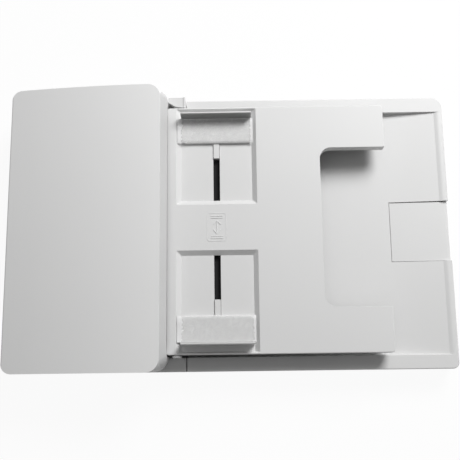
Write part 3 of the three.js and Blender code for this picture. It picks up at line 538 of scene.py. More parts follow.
def bar(axis, at, radius, span, sides=32, tip=None):
    """A round bar along an axis, at its place in the other two; tip is the far end's radius."""
    rest()
    turned = {"X": (0, math.pi / 2, 0), "Y": (-math.pi / 2, 0, 0), "Z": (0, 0, 0)}[axis]
    half = sum(span) / 2
    at = {"X": (half, *at), "Y": (at[0], half, at[1]), "Z": (*at, half)}[axis]
    bpy.ops.mesh.primitive_cone_add(
        vertices=sides,
        radius1=radius * mm,
        radius2=(radius if tip is None else tip) * mm,
        depth=(span[1] - span[0]) * mm,
        location=Vector(at) * mm,
        rotation=turned,
    )
    return settled()


def pen_line(corners):
    """One corner, extruded from place to place, left selected in edit mode."""
    rest()
    bpy.ops.mesh.primitive_plane_add(size=mm, location=corners[0])
    piece = settled()
    bpy.ops.object.mode_set(mode="EDIT")
    bpy.ops.mesh.select_mode(type="VERT")
    bpy.ops.mesh.select_all(action="SELECT")
    bpy.ops.mesh.merge(type="CENTER")
    for here, there in zip(corners, corners[1:]):
        bpy.ops.mesh.extrude_vertices_move(TRANSFORM_OT_translate={"value": there - here})
    bpy.ops.mesh.select_all(action="SELECT")
    return piece


def bevel(kind, radius, steps):
    """Rounds the selected corners or edges."""
    bpy.ops.mesh.bevel(offset=radius * mm, segments=steps, affect=kind, clamp_overlap=False)


def drawn(axis, points, span, radii=None, steps=8):
    """An outline in the two other axes, pulled from one end of the span to the other."""
    along = "XYZ".index(axis)
    corners = [Vector((*at[:along], span[0], *at[along:])) * mm for at in points]
    pull = Vector([(span[1] - span[0]) * mm if axis == name else 0 for name in "XYZ"])
    piece = pen_line(corners)
    bpy.ops.mesh.edge_face_add()
    for corner, radius in zip(corners, radii or []):
        if radius:
            bpy.ops.mesh.select_all(action="DESELECT")
            choose(piece, "verts", lambda part: (part.co - corner).length < 1e-6)
            bevel("VERTICES", radius, steps)
    bpy.ops.mesh.select_mode(type="FACE")
    bpy.ops.mesh.select_all(action="SELECT")
    bpy.ops.mesh.extrude_region_move(TRANSFORM_OT_translate={"value": pull})
    bpy.ops.mesh.select_all(action="SELECT")
    bpy.ops.mesh.normals_make_consistent(inside=False)
    rest()
    return piece


def plate(x, y, z, radii, steps=8):
    """A slab with a radius for each corner: left front, right front, right back, left back."""
    points = [(x[0], y[0]), (x[1], y[0]), (x[1], y[1]), (x[0], y[1])]
    return drawn("Z", points, z, radii, steps)


print("ready to draw")

# %% [markdown]
# ## Joining, cutting and softening
#
# A Boolean modifier joins or cuts two solids exactly. `modify` applies each modifier at once, so
# that every step starts from a plain mesh. Real mouldings have no sharp edge: `soften` first
# dissolves the lines that a cut leaves in flat faces, then rounds every edge that is sharper than
# an angle. `finish` gives a piece its name, its look and the body that it moves with.

# %% Join, cut, soften and finish


def modify(piece, kind, **settings):
    """Adds a modifier, sets it and applies it."""
    only(piece)
    step = piece.modifiers.new("step", kind)
    for name, value in settings.items():
        setattr(step, name, value)
    bpy.ops.object.modifier_apply(modifier=step.name)


def combine(operation, piece, others):
    for other in others:
        modify(piece, "BOOLEAN", operation=operation, object=other, solver="EXACT")
        bpy.data.objects.remove(other)
    return piece


def cut(piece, *others):
    return combine("DIFFERENCE", piece, others)


def join(piece, *others):
    return combine("UNION", piece, others)


def common(piece, *others):
    return combine("INTERSECT", piece, others)


def soften(piece, width, steps=2, angle=30, smooth=40):
    """Rounds the piece's sharp edges and shades it smooth across gentle ones."""
    edit(piece, "VERT")
    bpy.ops.mesh.select_all(action="SELECT")
    bpy.ops.mesh.remove_doubles(threshold=0.002 * mm)
    bpy.ops.mesh.dissolve_limited(angle_limit=math.radians(0.5))
    limit = {"limit_method": "ANGLE", "angle_limit": math.radians(angle)}
    modify(piece, "BEVEL", width=width * mm, segments=steps, **limit)
    return shade(piece, smooth)


def shade(piece, smooth=40):
    """Smooth shading over gentle edges, with the large faces keeping their own direction."""
    only(piece)
    bpy.ops.object.shade_smooth_by_angle(angle=math.radians(smooth))
    modify(piece, "WEIGHTED_NORMAL", keep_sharp=True)
    return piece


def finish(piece, name, body, slot, instead_of=(), material=None):
    """Names the piece, gives it its finish, and lets it ride on its body."""
    only(piece)
    settled()
    piece.name = piece.data.name = name
    piece.data.materials.clear()
    piece.data.materials.append(material or finishes[slot])
    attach(piece, body)
    if instead_of:
        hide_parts(*instead_of)
    print(f"{name}: {len(piece.data.polygons)} faces")
    return piece


# %% [markdown]
# ## Rounding chosen edges, tapering and curves
#
# Three more hand tools. `round_edges` bevels only the edges that a test accepts, for a large radius
# on an outside corner. `taper` moves one level of a solid to a new size, which makes the sloping
# walls that let a moulding out of its mould. `curve` gives the points of a quadratic curve.

# %% Round, taper and curve


def round_edges(piece, radius, steps, wanted):
    edit(piece, "EDGE")
    choose(piece, "edges", wanted)
    bevel("EDGES", radius, steps)
    rest()


def at_height(corner, z):
    return abs(corner.co.z / mm - z) < 0.02


def level(*heights):
    """Accepts an edge that lies at one of the heights."""
    return lambda part: any(all(at_height(corner, z) for corner in part.verts) for z in heights)


def taper(piece, z, x, y):
    """Moves and scales what lies at a height so that it fills new X and Y spans."""
    edit(piece, "VERT")
    choose(piece, "verts", lambda part: at_height(part, z))
    shape = bmesh.from_edit_mesh(piece.data)
    now = [[v.co[i] / mm for v in shape.verts if v.select] for i in (0, 1)]
    middles = [(min(values) + max(values)) / 2 for values in now]
    grow = [(b - a) / (max(values) - min(values)) for (a, b), values in zip((x, y), now)]
    centre = [value * mm for value in (*middles, z)]
    bpy.ops.transform.resize(value=(*grow, 1), center_override=centre)
    shift = [((a + b) / 2 - m) * mm for (a, b), m in zip((x, y), middles)]
    bpy.ops.transform.translate(value=(*shift, 0))
    rest()
    return piece


def curve(start, pull, end, steps):
    """Points after the start of a quadratic curve."""

    def at(t):
        each = zip(start, pull, end)
        return tuple((1 - t) ** 2 * a + 2 * t * (1 - t) * b + t * t * c for a, b, c in each)

    return [at((i + 1) / steps) for i in range(steps)]


print("ready to shape")

# %% [markdown]
# ## The hood
#
# The feeder's cover is the tallest moulding: a shell 2.2 mm thick whose top rises from a tight
# shoulder at the left to a straight crease at the right, and then drops as a steep wall to its
# foot over the tray. A side view gives the rise and a plan view gives the rounded corners, so
# the hood is the space that is inside both. The plan's upper part leans left, as the wall does.

# %% Model the hood's outside
CREASE, FOOT = -67.5, -62.3
foot_top, hood_back = 53.5, HOOD[1][1]
past = (-150, 150)  # a span that reaches past the unit's front and back


def hood_space(inset, steps):
    top, edge, side = HOOD[2][1] - inset, left + inset, hood_back - inset
    shoulder, high = (left + 1.4 + inset, 59.9 - inset), 12 - inset
    left_round, lows = 10 - inset, {-1: 15 - inset, 1: 9 - inset}
    points = [(FOOT + 5, 10), (FOOT + 5, top), (CREASE, top)]
    points += curve((CREASE, top), (CREASE - 60, top), shoulder, 5 * steps)
    points += curve(shoulder, (edge, 59.6 - inset), (edge, 58 - inset), 2 * steps)
    profile = drawn("Y", points + [(edge, 10)], past)
    radii = (left_round, lows[-1], lows[1], left_round)
    plan = plate((edge, FOOT - inset), (-side, side), (20, foot_top), radii, 2 * steps)
    edit(plan)
    choose(plan, "faces", lambda part: part.normal.z > 0.9)
    rise = (0, 0, (top - foot_top) * mm)
    bpy.ops.mesh.extrude_region_move(TRANSFORM_OT_translate={"value": rise})
    edit(plan, "VERT")
    for sign, low in lows.items():
        corner = Vector((FOOT - inset, sign * side, top))
        bpy.ops.mesh.select_all(action="DESELECT")
        choose(plan, "verts", lambda part: max(abs(v) for v in part.co / mm - corner) < low + 0.1)
        bpy.ops.transform.resize(value=(high / low, high / low, 1), center_override=corner * mm)
    bpy.ops.mesh.select_all(action="DESELECT")
    choose(plan, "verts", lambda part: part.co.z / mm > top - 0.1 and part.co.x / mm > CREASE - 40)
    bpy.ops.transform.translate(value=((CREASE - FOOT) * mm, 0, 0))
    rest()
    return common(profile, plan)


hood = soften(hood_space(0, 6), 2.4, 4, angle=32)
print("outside:", len(hood.data.polygons), "faces")

# %% [markdown]
# The inside is the same space drawn in by the wall. A long cutter opens the underside, a tall one
# opens the mouth where sheets go in, and a low, wider one lets the tray's edges pass below the
# wall. Last come the two arms with the pivot pins that snap into the side frames.

# %% Hollow the hood and add its pivots
low = 5  # below the hood's foot
under = [
    (left - 5, low), (FOOT + 12, low), (FOOT + 12, rim + 0.6),
    (left + 23, rim + 0.6), (left + 15, rim + 3), (left - 5, rim + 3),
]
through_foot, mouth, tray_gap = (FOOT - 9, FOOT + 9), 109.5, 121.1
cut(
    hood,
    hood_space(wall, 4),
    drawn("Y", under, (-140, 140)),
    block(through_foot, (-mouth, mouth), (low, foot_top)),
    block(through_foot, (-tray_gap, tray_gap), (low, 50.2)),
)
pivot, arm_radius, pin_radius = (left + 7, 38), 3.5, 2
for side in (-1, 1):
    arm, pin = sorted((side * 104.5, side * 109.3)), sorted((side * 108, side * 114))
    join(
        hood,
        block((left + 1.7, left + 7), arm, (38 - arm_radius, 38 + arm_radius)),
        bar("Y", pivot, arm_radius, arm),
        bar("Y", pivot, pin_radius, pin),
    )
soften(hood, 0.35, 2, angle=55)
finish(hood, "hood", "cover", "casing", ["cover"], hood_finish)

# %% [markdown]
# ## The lid's moulding
#
# The right part of the lid is a shell with a sunk bay for sheets that come out. Its floor rises to
# the right, more steeply past a bend, and ends in a crease and a short slope up to the rim.
# Mouldings need draft to leave the mould, so the bay's front and back lean outwards: each height
# of the cutter's two ends is moved in its turn.

# %% Model the spaces of the lid's bay
SEAM, bay_start, bay_end, bend = LID[0][0], LID[0][0] - 10, 206.0, 155.0
bay_front, bay_back, above = -121.8, 120, 37
floor_line = [(bay_start, 13.0), (bend, 21.0), (bay_end, 24.3)]
slope = [(180, 23.1), (203.3, 25.3), (204, 25.36), (204.6, 25.56), (206.6, 26.36), (209, rim)]


def bay_block():
    """The bay's space with a skin around it, as straight walls."""
    points = [(x + (wall if x == bay_end else 0), z - wall) for x, z in floor_line]
    points += [(bay_end + wall, above), (bay_start, above)]
    return drawn("Y", points, (-bay_back - wall, bay_back + wall))


def bay_space():
    """The bay's space itself; a lean is what an end moves in 14 mm of height."""
    points = floor_line[:2] + slope + [(slope[-1][0], above), (bay_start, above)]
    bay = drawn("Y", points, (bay_front, bay_back))
    for side, lean in ((bay_front, -3.8), (bay_back, 1.2)):
        for x, z in points:
            edit(bay, "VERT")
            choose(bay, "verts", lambda part: (part.co / mm - Vector((x, side, z))).length < 0.01)
            bpy.ops.transform.translate(value=(0, lean * (z - rim) / 14 * mm, 0))
    rest()
    return bay


def stop_pocket(skin):
    low, high = 18.4 - skin, 18.8 - skin
    points = [(bend - skin, low), (right + 1, high), (right + 1, above), (bend - skin, above)]
    return drawn("Y", points, (-31.9 - skin, 27.9 + skin))


print("bay floor", floor_line)

# %% [markdown]
# The shell is a rounded slab whose top edge is rolled by 1 mm, and its bottom edge by a little
# more. Its hollow is the inner slab less the bay with its skin, so that one cut leaves rim, walls
# and floor together. Ribs and screw bosses stand under the floor, where only the open underside
# shows them. Two cheeks in the right wall hold the pins of the stop.

# %% Model the lid's shell


def roll_outside(piece, foot, outside):
    """Rounds the top and bottom edges whose middle has an X that outside() accepts."""
    for height, radius in ((rim, 1.0), (foot, 1.7)):
        round_edges(piece, radius, 4, lambda part: level(height)(part) and outside(middle(part).x))


inner_y, panel_top, post_top = (wall - back, back - wall), 6.7, 24
shell = plate((SEAM + 0.6, right), (-back, back), (LID[2][0], rim), (0, 6, 9.5, 0), 9)
roll_outside(shell, LID[2][0], lambda x: x > SEAM + 0.7)
hollow = plate((SEAM + wall, right - wall), inner_y, (-1, rim - wall), (0, 3.8, 5, 0), 6)
cut(hollow, bay_block(), stop_pocket(wall))
cut(hollow, *[block((bay_end, right), y, (16.7, 26)) for y in ((-35.1, -31.5), (27.5, 31.1))])
cut(shell, hollow)
lid_screws = [(-32, 112), (-32, -112), (143, 112), (143, -112)]
for y in (-75, -45, 45, 75):
    rib = block((SEAM + wall - 0.5, right - 12), (y - 0.8, y + 0.8), (panel_top, post_top))
    join(shell, rib)
for at in lid_screws:
    join(shell, bar("Z", at, 4, (panel_top, post_top), 24))
cut(shell, bay_space(), stop_pocket(0))
print("shell:", len(shell.data.polygons), "faces")

# %% Open the lid's underside and soften it
screw_bore, stop_hinge, hinge_seat = 1.3, (209.6, 21.7), ((131.8, 136), (0, 4.6))
cut(
    shell,
    block((SEAM - 1, SEAM + wall + 1), inner_y, (0, panel_top)),
    *[bar("Z", at, screw_bore, (0, 12.4), 16) for at in lid_screws],
    *[block((x - 21, x + 21), *hinge_seat) for x in (-142.5, 167.5)],
)
soften(shell, 0.4, 2, angle=28)
cut(shell, bar("Y", stop_hinge, 1.48, (-34.6, 30.6), 24))
shade(shell)
finish(shell, "lid_moulding", "lid", "casing", ["lid_shell"])

# %% [markdown]
# ## The feeder's base
#
# The left part of the lid carries the feeder. It is a ring of wall with a deck across it. Two
# ledges continue the lid's rim under the hood's right corners, and a well in the deck leaves room
# for the lower paper guide. Everything but the ledges and the outside is hidden by the hood.

# %% Model the feeder's base
end, deck, deck_under, seat_top = BASE[0][1], 12.2, 10.8, 4.6
ledge_x, screw_x, screw_y = (-94.5, end), -80.5, 100
ring = plate((left, end), (-back, back), (BASE[2][0], rim), (10, 0, 0, 10), 10)
roll_outside(ring, BASE[2][0], lambda x: x < end - 0.1)
for z in ((-1, deck_under), (deck + 1, 30)):
    cut(ring, plate((left + wall, end + 2), inner_y, z, (7.8, 0, 0, 7.8), 8))
for side, lip in ((-1, -bay_front), (1, bay_back)):
    join(ring, block(ledge_x, sorted((side * lip, side * 134)), (24.8, rim)))
    join(ring, block(ledge_x, sorted((side * lip, side * (lip + wall))), (deck, rim)))
    join(ring, block((-204.5, -188.5), sorted((side * 121, side * 134)), (seat_top, deck)))
    join(ring, bar("Z", (screw_x, side * screw_y), 4, (panel_top, deck), 24))
join(ring, block((-164.5, -120.5), (111, 134), (seat_top, deck)))
cut(
    ring,
    block((-190.06, -98.4), (-109.8, 109.8), (0, 14.2)),
    block((-123.14, -105.14), (113.2, 122.2), (9, 20)),
    *[bar("Z", (screw_x, y), screw_bore, (0, 11.8), 16) for y in (-screw_y, screw_y)],
    block((-163.5, -121.5), *hinge_seat),
)
soften(ring, 0.4, 2, angle=28)
edit(ring, "VERT")
choose(ring, "verts", lambda part: part.co.x / mm > end - 0.02)
bpy.ops.transform.resize(value=(0, 1, 1), center_override=(end * mm, 0, 0))
rest()
finish(ring, "feeder_base_moulding", "lid", "casing", ["feeder_base"])

# %% [markdown]
# ## The stop in the bay's floor
#
# A square flap lies in the floor and turns out over the right edge to hold long sheets. It is a
# wedge drawn from the side, with a barrel and two pins at its hinge. Its back edge stands a little
# further from the pocket's wall than the others, so that a fingernail gets under it.

# %% Model the stop flap
side_view = [(155.4, 18.7), (209.6, 19.1), (209.6, 24.3), (204, 24.17), (155.4, 21)]
stop_y = (-31.5, 27.0)
stop = drawn("Y", side_view, stop_y)
join(stop, bar("Y", stop_hinge, 2.6, stop_y), bar("Y", stop_hinge, 1.4, (-34.3, 30.3), 24))
for y in (-24, 20):
    cut(stop, block((160, 200), (y, y + 1.2), (18, 19.4)))
soften(stop, 0.3, 2, angle=28)
finish(stop, "stop_flap_moulding", "flap", "casing", ["stop_flap"], finishes["tray"])

# %% [markdown]
# ## The input tray
#
# The tray is a slab with a thin skin: a rounded plate, hollow from below. Two recesses with
# sloping walls are pressed into its top, a slot in each lets a guide reach its rack, and a hand
# cut-out opens its right end. Two pins at the left let it hinge up from its brackets.

# %% Model the tray's solid and its hollow
centre_x, tray_side, top = -15.1, 119.6, 49.0
tray_x, underside, through = (-63.0, 148.0), TRAY[2][0], (30, 60)
slab = plate(tray_x, (-tray_side, tray_side), (underside, top), (2, 3, 3, 2), 4)
round_edges(slab, 0.8, 3, level(top))


def about(half, middle_x=centre_x):
    return (middle_x - half, middle_x + half)


def hand_cutout(grow):
    span, half, radius = (85 - grow, 153), 77.2 + grow, 11 + grow
    return plate(span, (-half, half), through, (radius, 0, 0, radius), 10)


def recess(side):
    floor_y, top_y = [sorted((side * a, side * b)) for a, b in ((26.6, 116.8), (22.2, 118.2))]
    brim = top + 0.01
    return taper(plate(about(34.3), floor_y, (45, brim), [1] * 4, 3), brim, about(38.8), top_y)


inside = block(
    (tray_x[0] + wall, tray_x[1] - wall), (wall - tray_side, tray_side - wall), (30, top - wall)
)
skins = [
    block(about(40.4), sorted((side * 20.6, side * tray_side)), (43.2, 60)) for side in (-1, 1)
]
cut(inside, *skins, hand_cutout(wall))
cut(slab, inside, hand_cutout(0), recess(-1), recess(1))
print("tray:", len(slab.data.polygons), "faces")

# %% Cut the slots, add the pins and soften the tray
tray_pivot, pin_bore, pin_ends = (-54, 43.5), 2.58, {-1: 121.6, 1: 127.6}
for side, pin_end in pin_ends.items():
    cut(slab, block(about(3.1), sorted((side * 26.6, side * 100)), through))
    join(slab, bar("Y", tray_pivot, 2.5, sorted((side * 118.6, side * pin_end))))
soften(slab, 0.4, 2, angle=28)
finish(slab, "tray_moulding", "tray", "tray", ["tray"])

# %% [markdown]
# ## The paper guides
#
# A guide is a low sledge in the recess with a tall fence at its outer edge. The sledge's inner
# edge slopes so that paper rides up on it, and its two inner corners are clipped. Under it a tab
# reaches through the slot to a rack, and both racks share a pinion, so the guides move together.
# The rear guide is modelled once; the front one is its copy turned by half a turn.

# %% Model the rear guide
inner, fence, fence_out, fence_top = 83.5, 108.5, 110.8, GUIDE[2][1]
guide_x = GUIDE[0]
end_view = [
    (inner, 45.3), (fence_out, 45.3), (fence_out, fence_top), (fence, fence_top),
    (fence, 48.8), (inner + 1.3, 48.8), (inner, 47.3),
]
sledge = drawn("X", end_view, guide_x, [0, 0, 1.0, 0.8, 1.2, 0.9, 0.4], 4)
for x, reach in ((guide_x[0], 3.5), (guide_x[1], -2.2)):
    a, b, before, deep = x - reach, x + reach, inner - 1, inner + abs(reach) * 1.3
    cut(sledge, drawn("Z", [(a, before), (b, before), (b, inner), (x, deep), (a, deep)], (40, 60)))
tab = 2.8  # half the tab's width
join(sledge, block(about(tab), (68.6, 87.5), (40.3, 46.4)))
print("sledge:", len(sledge.data.polygons), "faces")

# %% [markdown]
# The rack is one tooth and its copies: an outline as wide at its root as 0.58 of the pitch, which
# narrows to its tip. The pitch of module 1 is pi. A tooth stands where the pinion has a gap.

# %% Add the rack and copy the guide
pitch, rack_z = math.pi, (40.3, 42.9)
root, tip, root_half, tip_half = -7.85, -9.9, 0.29 * pitch, 0.11 * pitch
flank = [(root, -root_half), (root, root_half), (tip, tip_half), (tip, -tip_half)]
rack_back, link_y = -5.1, 72.5
link = block((centre_x - tab, rack_back), (link_y, inner), rack_z)
cut(link, block((centre_x + 3, centre_x + 7), (0, link_y), rack_z))
join(sledge, link, block((-8, rack_back), (-5, inner), rack_z))
for tooth in range(-1, 14):
    join(sledge, drawn("Z", [(x, y + tooth * pitch) for x, y in flank], rack_z))
soften(sledge, 0.25, 2, angle=28)
only(sledge)
bpy.ops.object.duplicate()
turned = bpy.context.object
bpy.ops.transform.rotate(value=math.pi, orient_axis="Z", center_override=(centre_x * mm, 0, 0))
finish(sledge, "paper_guide_rear", "guide_rear", "guide", ["guide_rear"])
finish(turned, "paper_guide_front", "guide_front", "guide", ["guide_front"])

# %% [markdown]
# ## Brackets of the tray
#
# The tray's pins turn in two blocks on the lid's rim. The rear one is tall, reaches the hood's
# foot and has a lip along its right edge. Its front left corner is cut away in a long wedge, which
# stays dark beside the tray's corner. The front one is a thin ear below the tray's edge.

# %% Model the brackets
seat, bracket_x, block_top = rim + 0.3, (-61.9, -45.5), 47.7
back_view = [
    (bracket_x[0], seat), (bracket_x[1], seat), (bracket_x[1], 49.3),
    (-46.3, 49.3), (-48.3, block_top), (bracket_x[0], block_top),
]
tall = drawn("Y", back_view, (120.3, 131))
cut(tall, bar("Y", tray_pivot, pin_bore, (110, 128.6)), block((-57, -48), (123, 128.5), (20, 36)))
cut(tall, drawn("Z", [(-64, 119), (-45, 119.9), (-55.3, 121.7), (-64, 127)], (20, 60)))
soften(tall, 0.4, 3, angle=40)
finish(tall, "tray_bracket_block", "lid", "casing", ["tray_bracket_rear"])
ear_view = [(-58, seat), (-50, seat), (-50, 47.5), (-58, 47.5)]
ear = drawn("Y", ear_view, (-121.9, -120.3), [0, 0, 3.6, 3.6], 8)
cut(ear, bar("Y", tray_pivot, pin_bore, (-130, -110)))
soften(ear, 0.3, 2, angle=40)
finish(ear, "tray_bracket_ear", "lid", "casing", ["tray_bracket_front"])

# %% [markdown]
# ## The closed underside of the tray
#
# A flat black cover closes the tray from below and carries the post on which the pinion turns.
# Ribs across stiffen it. It shows in the slots of the recesses, and from a low angle over the bay.

# %% Model the tray's bottom
lower = plate(*UNDERTRAY[:2], (underside, underside + 1.6), [1.5] * 4, 4)
cut(lower, block((82.5, 160), (-79.7, 79.7), through))
join(lower, bar("Z", (centre_x, 0), 2, (39.2, 42.9), 24))
for x in (-42, 34, 60):
    join(lower, block((x, x + 1.2), (-112, 112), (39, 40.2)))
soften(lower, 0.3, 2, angle=40)
finish(lower, "tray_bottom_moulding", "tray", "black_plastic", ["tray_bottom"], sooty_black())

# %% [markdown]
# ## The page symbol
#
# Between the recesses the mould has a shallow mark that shows how a page lies: the lines of text
# near its ends, an arrow along the middle and a rounded frame. The strokes are bars that stand
# 0.4 mm out of the land, and the frame is a little lower, with soft edges that catch the light.
# Strokes that meet are joined.

# %% Model the page symbol
sunk, stroke_rise, frame_rise = 0.3, 0.38, 0.25


def stroke(start, end, width):
    """A low bar from one [x, y] to another, turned to its direction."""
    a, b = Vector((*start, 0)), Vector((*end, 0))
    half, at = (b - a).length / 2, (a + b) / 2
    piece = block(about(half, at.x), about(width / 2, at.y), (top - sunk, top + stroke_rise))
    angle = math.atan2(b.y - a.y, b.x - a.x)
    only(piece)
    bpy.ops.object.mode_set(mode="EDIT")
    bpy.ops.mesh.select_all(action="SELECT")
    bpy.ops.transform.rotate(value=-angle, orient_axis="Z", center_override=at * mm)
    rest()
    return piece


page = plate((-24.6, -6.0), (-13.6, 13.6), (top - sunk, top + frame_rise), [2.4] * 4, 6)
cut(page, plate((-24.0, -6.6), (-13.0, 13.0), (top - 1, top + 1), [1.8] * 4, 6))
arrow = stroke((centre_x, -6.2), (centre_x, 6.2), 0.9)
for dx in (-3.4, 3.4):
    barbs = ((-2.4, -6.6), (2.4, 6.6))
    join(arrow, *[stroke((centre_x + dx, y), (centre_x, point), 0.8) for y, point in barbs])
lines = [stroke((-20.8, y), (-9.4, y), 0.8) for y in (-10.8, -8.9, 8.9, 10.8)]
join(page, arrow, *lines)
soften(page, 0.08, 2, angle=40)
finish(page, "page_symbol", "tray", "tray")

# %% [markdown]
# ## Clear film on the guides
#
# A new machine comes with thin protective film on its guides. It has come loose and lies on each
# sledge, a little wider than it, almost invisible but for a few creases that catch the lamp and
# for its crumpled ends. Its finish also paints thin whiter, less clear lines over it: painted
# highlights for glints on the creases. It starts as a line along the sledge, pulled to a ribbon
# and subdivided. A Displace modifier with a ridged pattern, applied at once, lifts it in folds
# with sharp ridges, and Solidify gives it a skin's thickness.

# %% Make the film's finish and its creases
def clear_film():
    made = Finish("clear_film", Specular_IOR_Level=0.8)
    haze = made.noise(220, 3, 0.6)
    ends = made.axes()[0].math("ADD", made.axes()[0], 15.1 * mm)
    ends = (ends.math("ABSOLUTE", ends, 0) + haze * 8 * mm).above(37.2 * mm)
    # Thin bright lines, whiter and less clear, are painted highlights for glints on the creases.
    painted_glint_lines = (0.011 - made.cells(52, "DISTANCE_TO_EDGE")).above(0) * made.noise(85, 1).above(0.6)
    made.give(Base_Color=made.blend(painted_glint_lines, (0.88, 0.88, 0.88), (0.97, 0.97, 0.97)))
    made.give(Roughness=0.08 + haze * 0.1)
    made.give(Alpha=0.14 + haze * 0.14 + ends * 0.6 + painted_glint_lines * 0.3)
    made.bump(haze, 0.4, 0.3)
    return made.material


creases = bpy.data.textures.new("film_creases", "MUSGRAVE")
creases.musgrave_type, creases.noise_scale = "RIDGED_MULTIFRACTAL", 0.022
creases.octaves, creases.lacunarity = 2, 2.2
film_finish = clear_film()
print("film finish made")


# %% Lay the film over both guides
def ribbon(points, x):
    """An open line in Y and Z, pulled along X in three steps."""
    piece = pen_line([Vector((x[0], y, z)) * mm for y, z in points])
    bpy.ops.mesh.select_mode(type="EDGE")
    pull = ((x[1] - x[0]) / 3 * mm, 0, 0)
    for _ in range(3):
        bpy.ops.mesh.extrude_edges_move(TRANSFORM_OT_translate={"value": pull})
    bpy.ops.mesh.select_all(action="SELECT")
    bpy.ops.mesh.subdivide(number_cuts=5)
    bpy.ops.mesh.subdivide(number_cuts=2)
    bpy.ops.mesh.normals_make_consistent(inside=False)
    rest()
    return piece


def displace(piece, texture, strength):
    place = {"texture_coords": "LOCAL", "mid_level": 0.0}
    modify(piece, "DISPLACE", texture=texture, strength=strength * mm, **place)


def crease(piece, height, thickness):
    displace(piece, creases, height)
    modify(piece, "SOLIDIFY", thickness=thickness * mm, offset=1.0)
    bpy.ops.object.shade_smooth_by_angle(angle=math.radians(25))
    return piece


over_rear = [(83.6, 48.3), (86.2, 48.95), (106.8, 48.95), (108.2, 49.1)]
over_front = [(-y, z) for y, z in reversed(over_rear)]
for name, points in (("rear", over_rear), ("front", over_front)):
    film = crease(ribbon(points, (guide_x[0] - 3.9, guide_x[1] + 1.6)), 0.5, 0.06)
    finish(film, f"guide_film_{name}", f"guide_{name}", "guide", material=film_finish)

# %% [markdown]
# ## Pad under the lid
#
# A sheet of foam presses the white film on the paper. Cut foam has soft edges and isn't quite
# even, so the slab's edges are rounded, its surface is made again of small even cells, and a slow
# cloud pattern draws it in by up to a quarter of a millimetre. It is firm and glued all over, so
# it needs no cloth simulation.

# %% Model the foam pad
PAD = size_of("foam_pad")
pad = plate(*PAD, [3] * 4, 6)
round_edges(pad, 0.7, 3, level(*PAD[2]))
edit(pad)
bpy.ops.mesh.select_all(action="SELECT")
bpy.ops.mesh.quads_convert_to_tris(quad_method="BEAUTY", ngon_method="BEAUTY")
rest()
modify(pad, "REMESH", mode="VOXEL", voxel_size=1.35 * mm)
cloud = bpy.data.textures.new("foam_unevenness", "CLOUDS")
cloud.noise_scale = 0.03
displace(pad, cloud, -0.25)
bpy.ops.object.shade_smooth()
finish(pad, "foam_pad_sheet", "lid", "foam", ["foam_pad"])

# %% [markdown]
# ## Bumpers and screws
#
# Four rubber bumpers carry the unit. One is modelled with rounded corners, a domed sole and two
# grooves, and the others are its copies, each with a mesh of its own. The bottom panel's screws
# are pan heads with a cross recess, modelled once too.

# %% Model a bumper and copy it
def copy_to(piece, shift, name, body, slot, instead_of=()):
    only(piece)
    bpy.ops.object.duplicate()
    bpy.ops.transform.translate(value=Vector(shift) * mm)
    return finish(bpy.context.object, name, body, slot, instead_of)


FIRST = size_of("bumper_left_front")
bumper = plate(*FIRST, [2] * 4, 6)
round_edges(bumper, 0.9, 4, level(0))
for y in (-127.4, -125.2):
    cut(bumper, block((FIRST[0][0] + 2, FIRST[0][1] - 2), (y, y + 0.6), (-1, 0.5)))
soften(bumper, 0.15, 2, angle=50)
across, along = 393, 252
others = {"left_rear": (0, along), "right_front": (across, 0), "right_rear": (across, along)}
for name, (x, y) in others.items():
    copy_to(bumper, (x, y, 0), f"rubber_bumper_{name}", "lid", "bumper_rubber", [f"bumper_{name}"])
finish(bumper, "rubber_bumper_left_front", "lid", "bumper_rubber", ["bumper_left_front"])

# %% Model a panel screw and copy it
at = lid_screws[0]
screw = bar("Z", at, 2.2, (3.2, 4.6), 32)
round_edges(screw, 0.7, 4, level(3.2))
join(screw, bar("Z", at, 1.2, (4.4, 11), 16, 0.9))
for size in ((1.35, 0.28), (0.28, 1.35)):
    cut(screw, block(*[(c - half, c + half) for c, half in zip(at, size)], (2, 4.0)))
soften(screw, 0.06, 2, angle=40)
for number, (x, y) in enumerate(lid_screws[1:], 2):
    copy_to(screw, (x - at[0], y - at[1], 0), f"panel_screw_{number}", "lid", "plated_steel")
finish(screw, "panel_screw_1", "lid", "plated_steel")

# %% [markdown]
# ## Smooth copies of the works
#
# Gears, rollers, shafts and frames have the right shape, but their solids are faceted. For each
# one a copy is merged, its edges get a small bevel, and gentle angles are shaded smooth, so that
# rollers look round and edges catch light when the hood is open. The bevel stops where a piece is
# too thin for it.

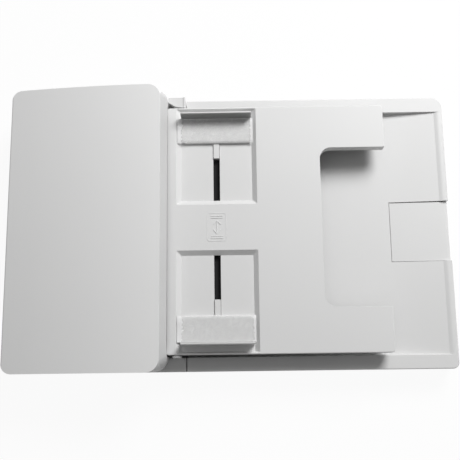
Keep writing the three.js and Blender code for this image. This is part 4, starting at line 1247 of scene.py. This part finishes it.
# %% Refine the works
refined = {
    "motor": 0.5, "motor_pinion": 0.1, "centre_gear": 0.12, "idler_gear": 0.12, "feed_gear": 0.12,
    "transport_gear": 0.12, "exit_gear": 0.12, "guide_pinion": 0.12, "gear_plate": 0.2,
    "frame_front": 0.25, "frame_rear": 0.25, "inner_guide": 0.2, "lower_guide": 0.2,
    "cover_guide": 0.2, "feed_shaft": 0.3, "transport_shaft": 0.3, "exit_shaft": 0.3,
    "feed_hub": 0.3, "feed_tyre": 0.4, "feed_pulley": 0.3, "pickup_arm": 0.25,
    "pickup_belt": 0.15, "pickup_hub": 0.25, "pickup_tyre": 0.4, "transport_tyre_front": 0.5,
    "transport_tyre_rear": 0.5, "exit_tyre_front": 0.4, "exit_tyre_rear": 0.4,
    "transport_pinch_front": 0.4, "transport_pinch_rear": 0.4, "exit_pinch_front": 0.3,
    "exit_pinch_rear": 0.3, "separation_holder": 0.2, "separation_pad": 0.2,
    "separation_spring": 0, "scan_backing": 0.2, "document_flag": 0.2, "sensor_board": 0.15,
    "lid_panel": 0.3, "hinge_plate_left": 0.3, "hinge_plate_right": 0.3,
}
slots = {row["node"]: row["material_slot"] for row in frame["record"]["subparts"]}
bodies = frame["record"]["behaviour"]["bodies"]
body_of = {node: body for body, nodes in bodies.items() for node in nodes}
for node, width in refined.items():
    only(frame["nodes"][node])
    bpy.ops.object.duplicate()
    fine = bpy.context.object
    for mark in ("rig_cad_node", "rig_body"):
        fine.pop(mark, None)
    fine.parent = None
    edit(fine, "VERT")
    bpy.ops.mesh.select_all(action="SELECT")
    bpy.ops.mesh.remove_doubles(threshold=0.001 * mm)
    rest()
    if width:
        soften(fine, width, 2, angle=32, smooth=35)
    else:
        shade(fine, 60)
    finish(fine, f"{node}_fine", body_of[node], slots[node], [node])

# %% [markdown]
# The separator's spring stands on the lid and is pressed down by the holder above it; a coil
# shortens evenly. Here the spring only gets a mesh of its own.

# %% Give the separator's spring a mesh of its own
spring = bpy.data.objects["separation_spring_fine"]
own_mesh(spring)

# %% [markdown]
# ## The floor
#
# The unit lies on a plain white table. Its surface shows the camera mostly plain white and only
# lightly the shadow that falls on it, while lamps and bounced light see an ordinary pale floor.

# %% Lay the floor
rest()
bpy.ops.mesh.primitive_plane_add(size=6, location=(0, 0, -0.0002))
floor = bpy.context.object
floor.name = "floor"
table = Finish("white_table", Roughness=0.9, Specular_IOR_Level=0.0)
table.give(Base_Color=(0.86, 0.86, 0.86, 1))
glow = table.node("ShaderNodeEmission", {}, {"Color": (1, 1, 1, 1), "Strength": 1.0})
to_camera = table.node("ShaderNodeLightPath", {}, {}, "Is Camera Ray")
mixed = table.tree.nodes.new("ShaderNodeMixShader")
table.feed(mixed.inputs[0], to_camera * 0.94)
table.tree.links.new(table.surface.outputs[0], mixed.inputs[1])
table.feed(mixed.inputs[2], glow)
table.tree.links.new(mixed.outputs[0], table.tree.nodes["Material Output"].inputs[0])
floor.data.materials.append(table.material)
print("floor laid")
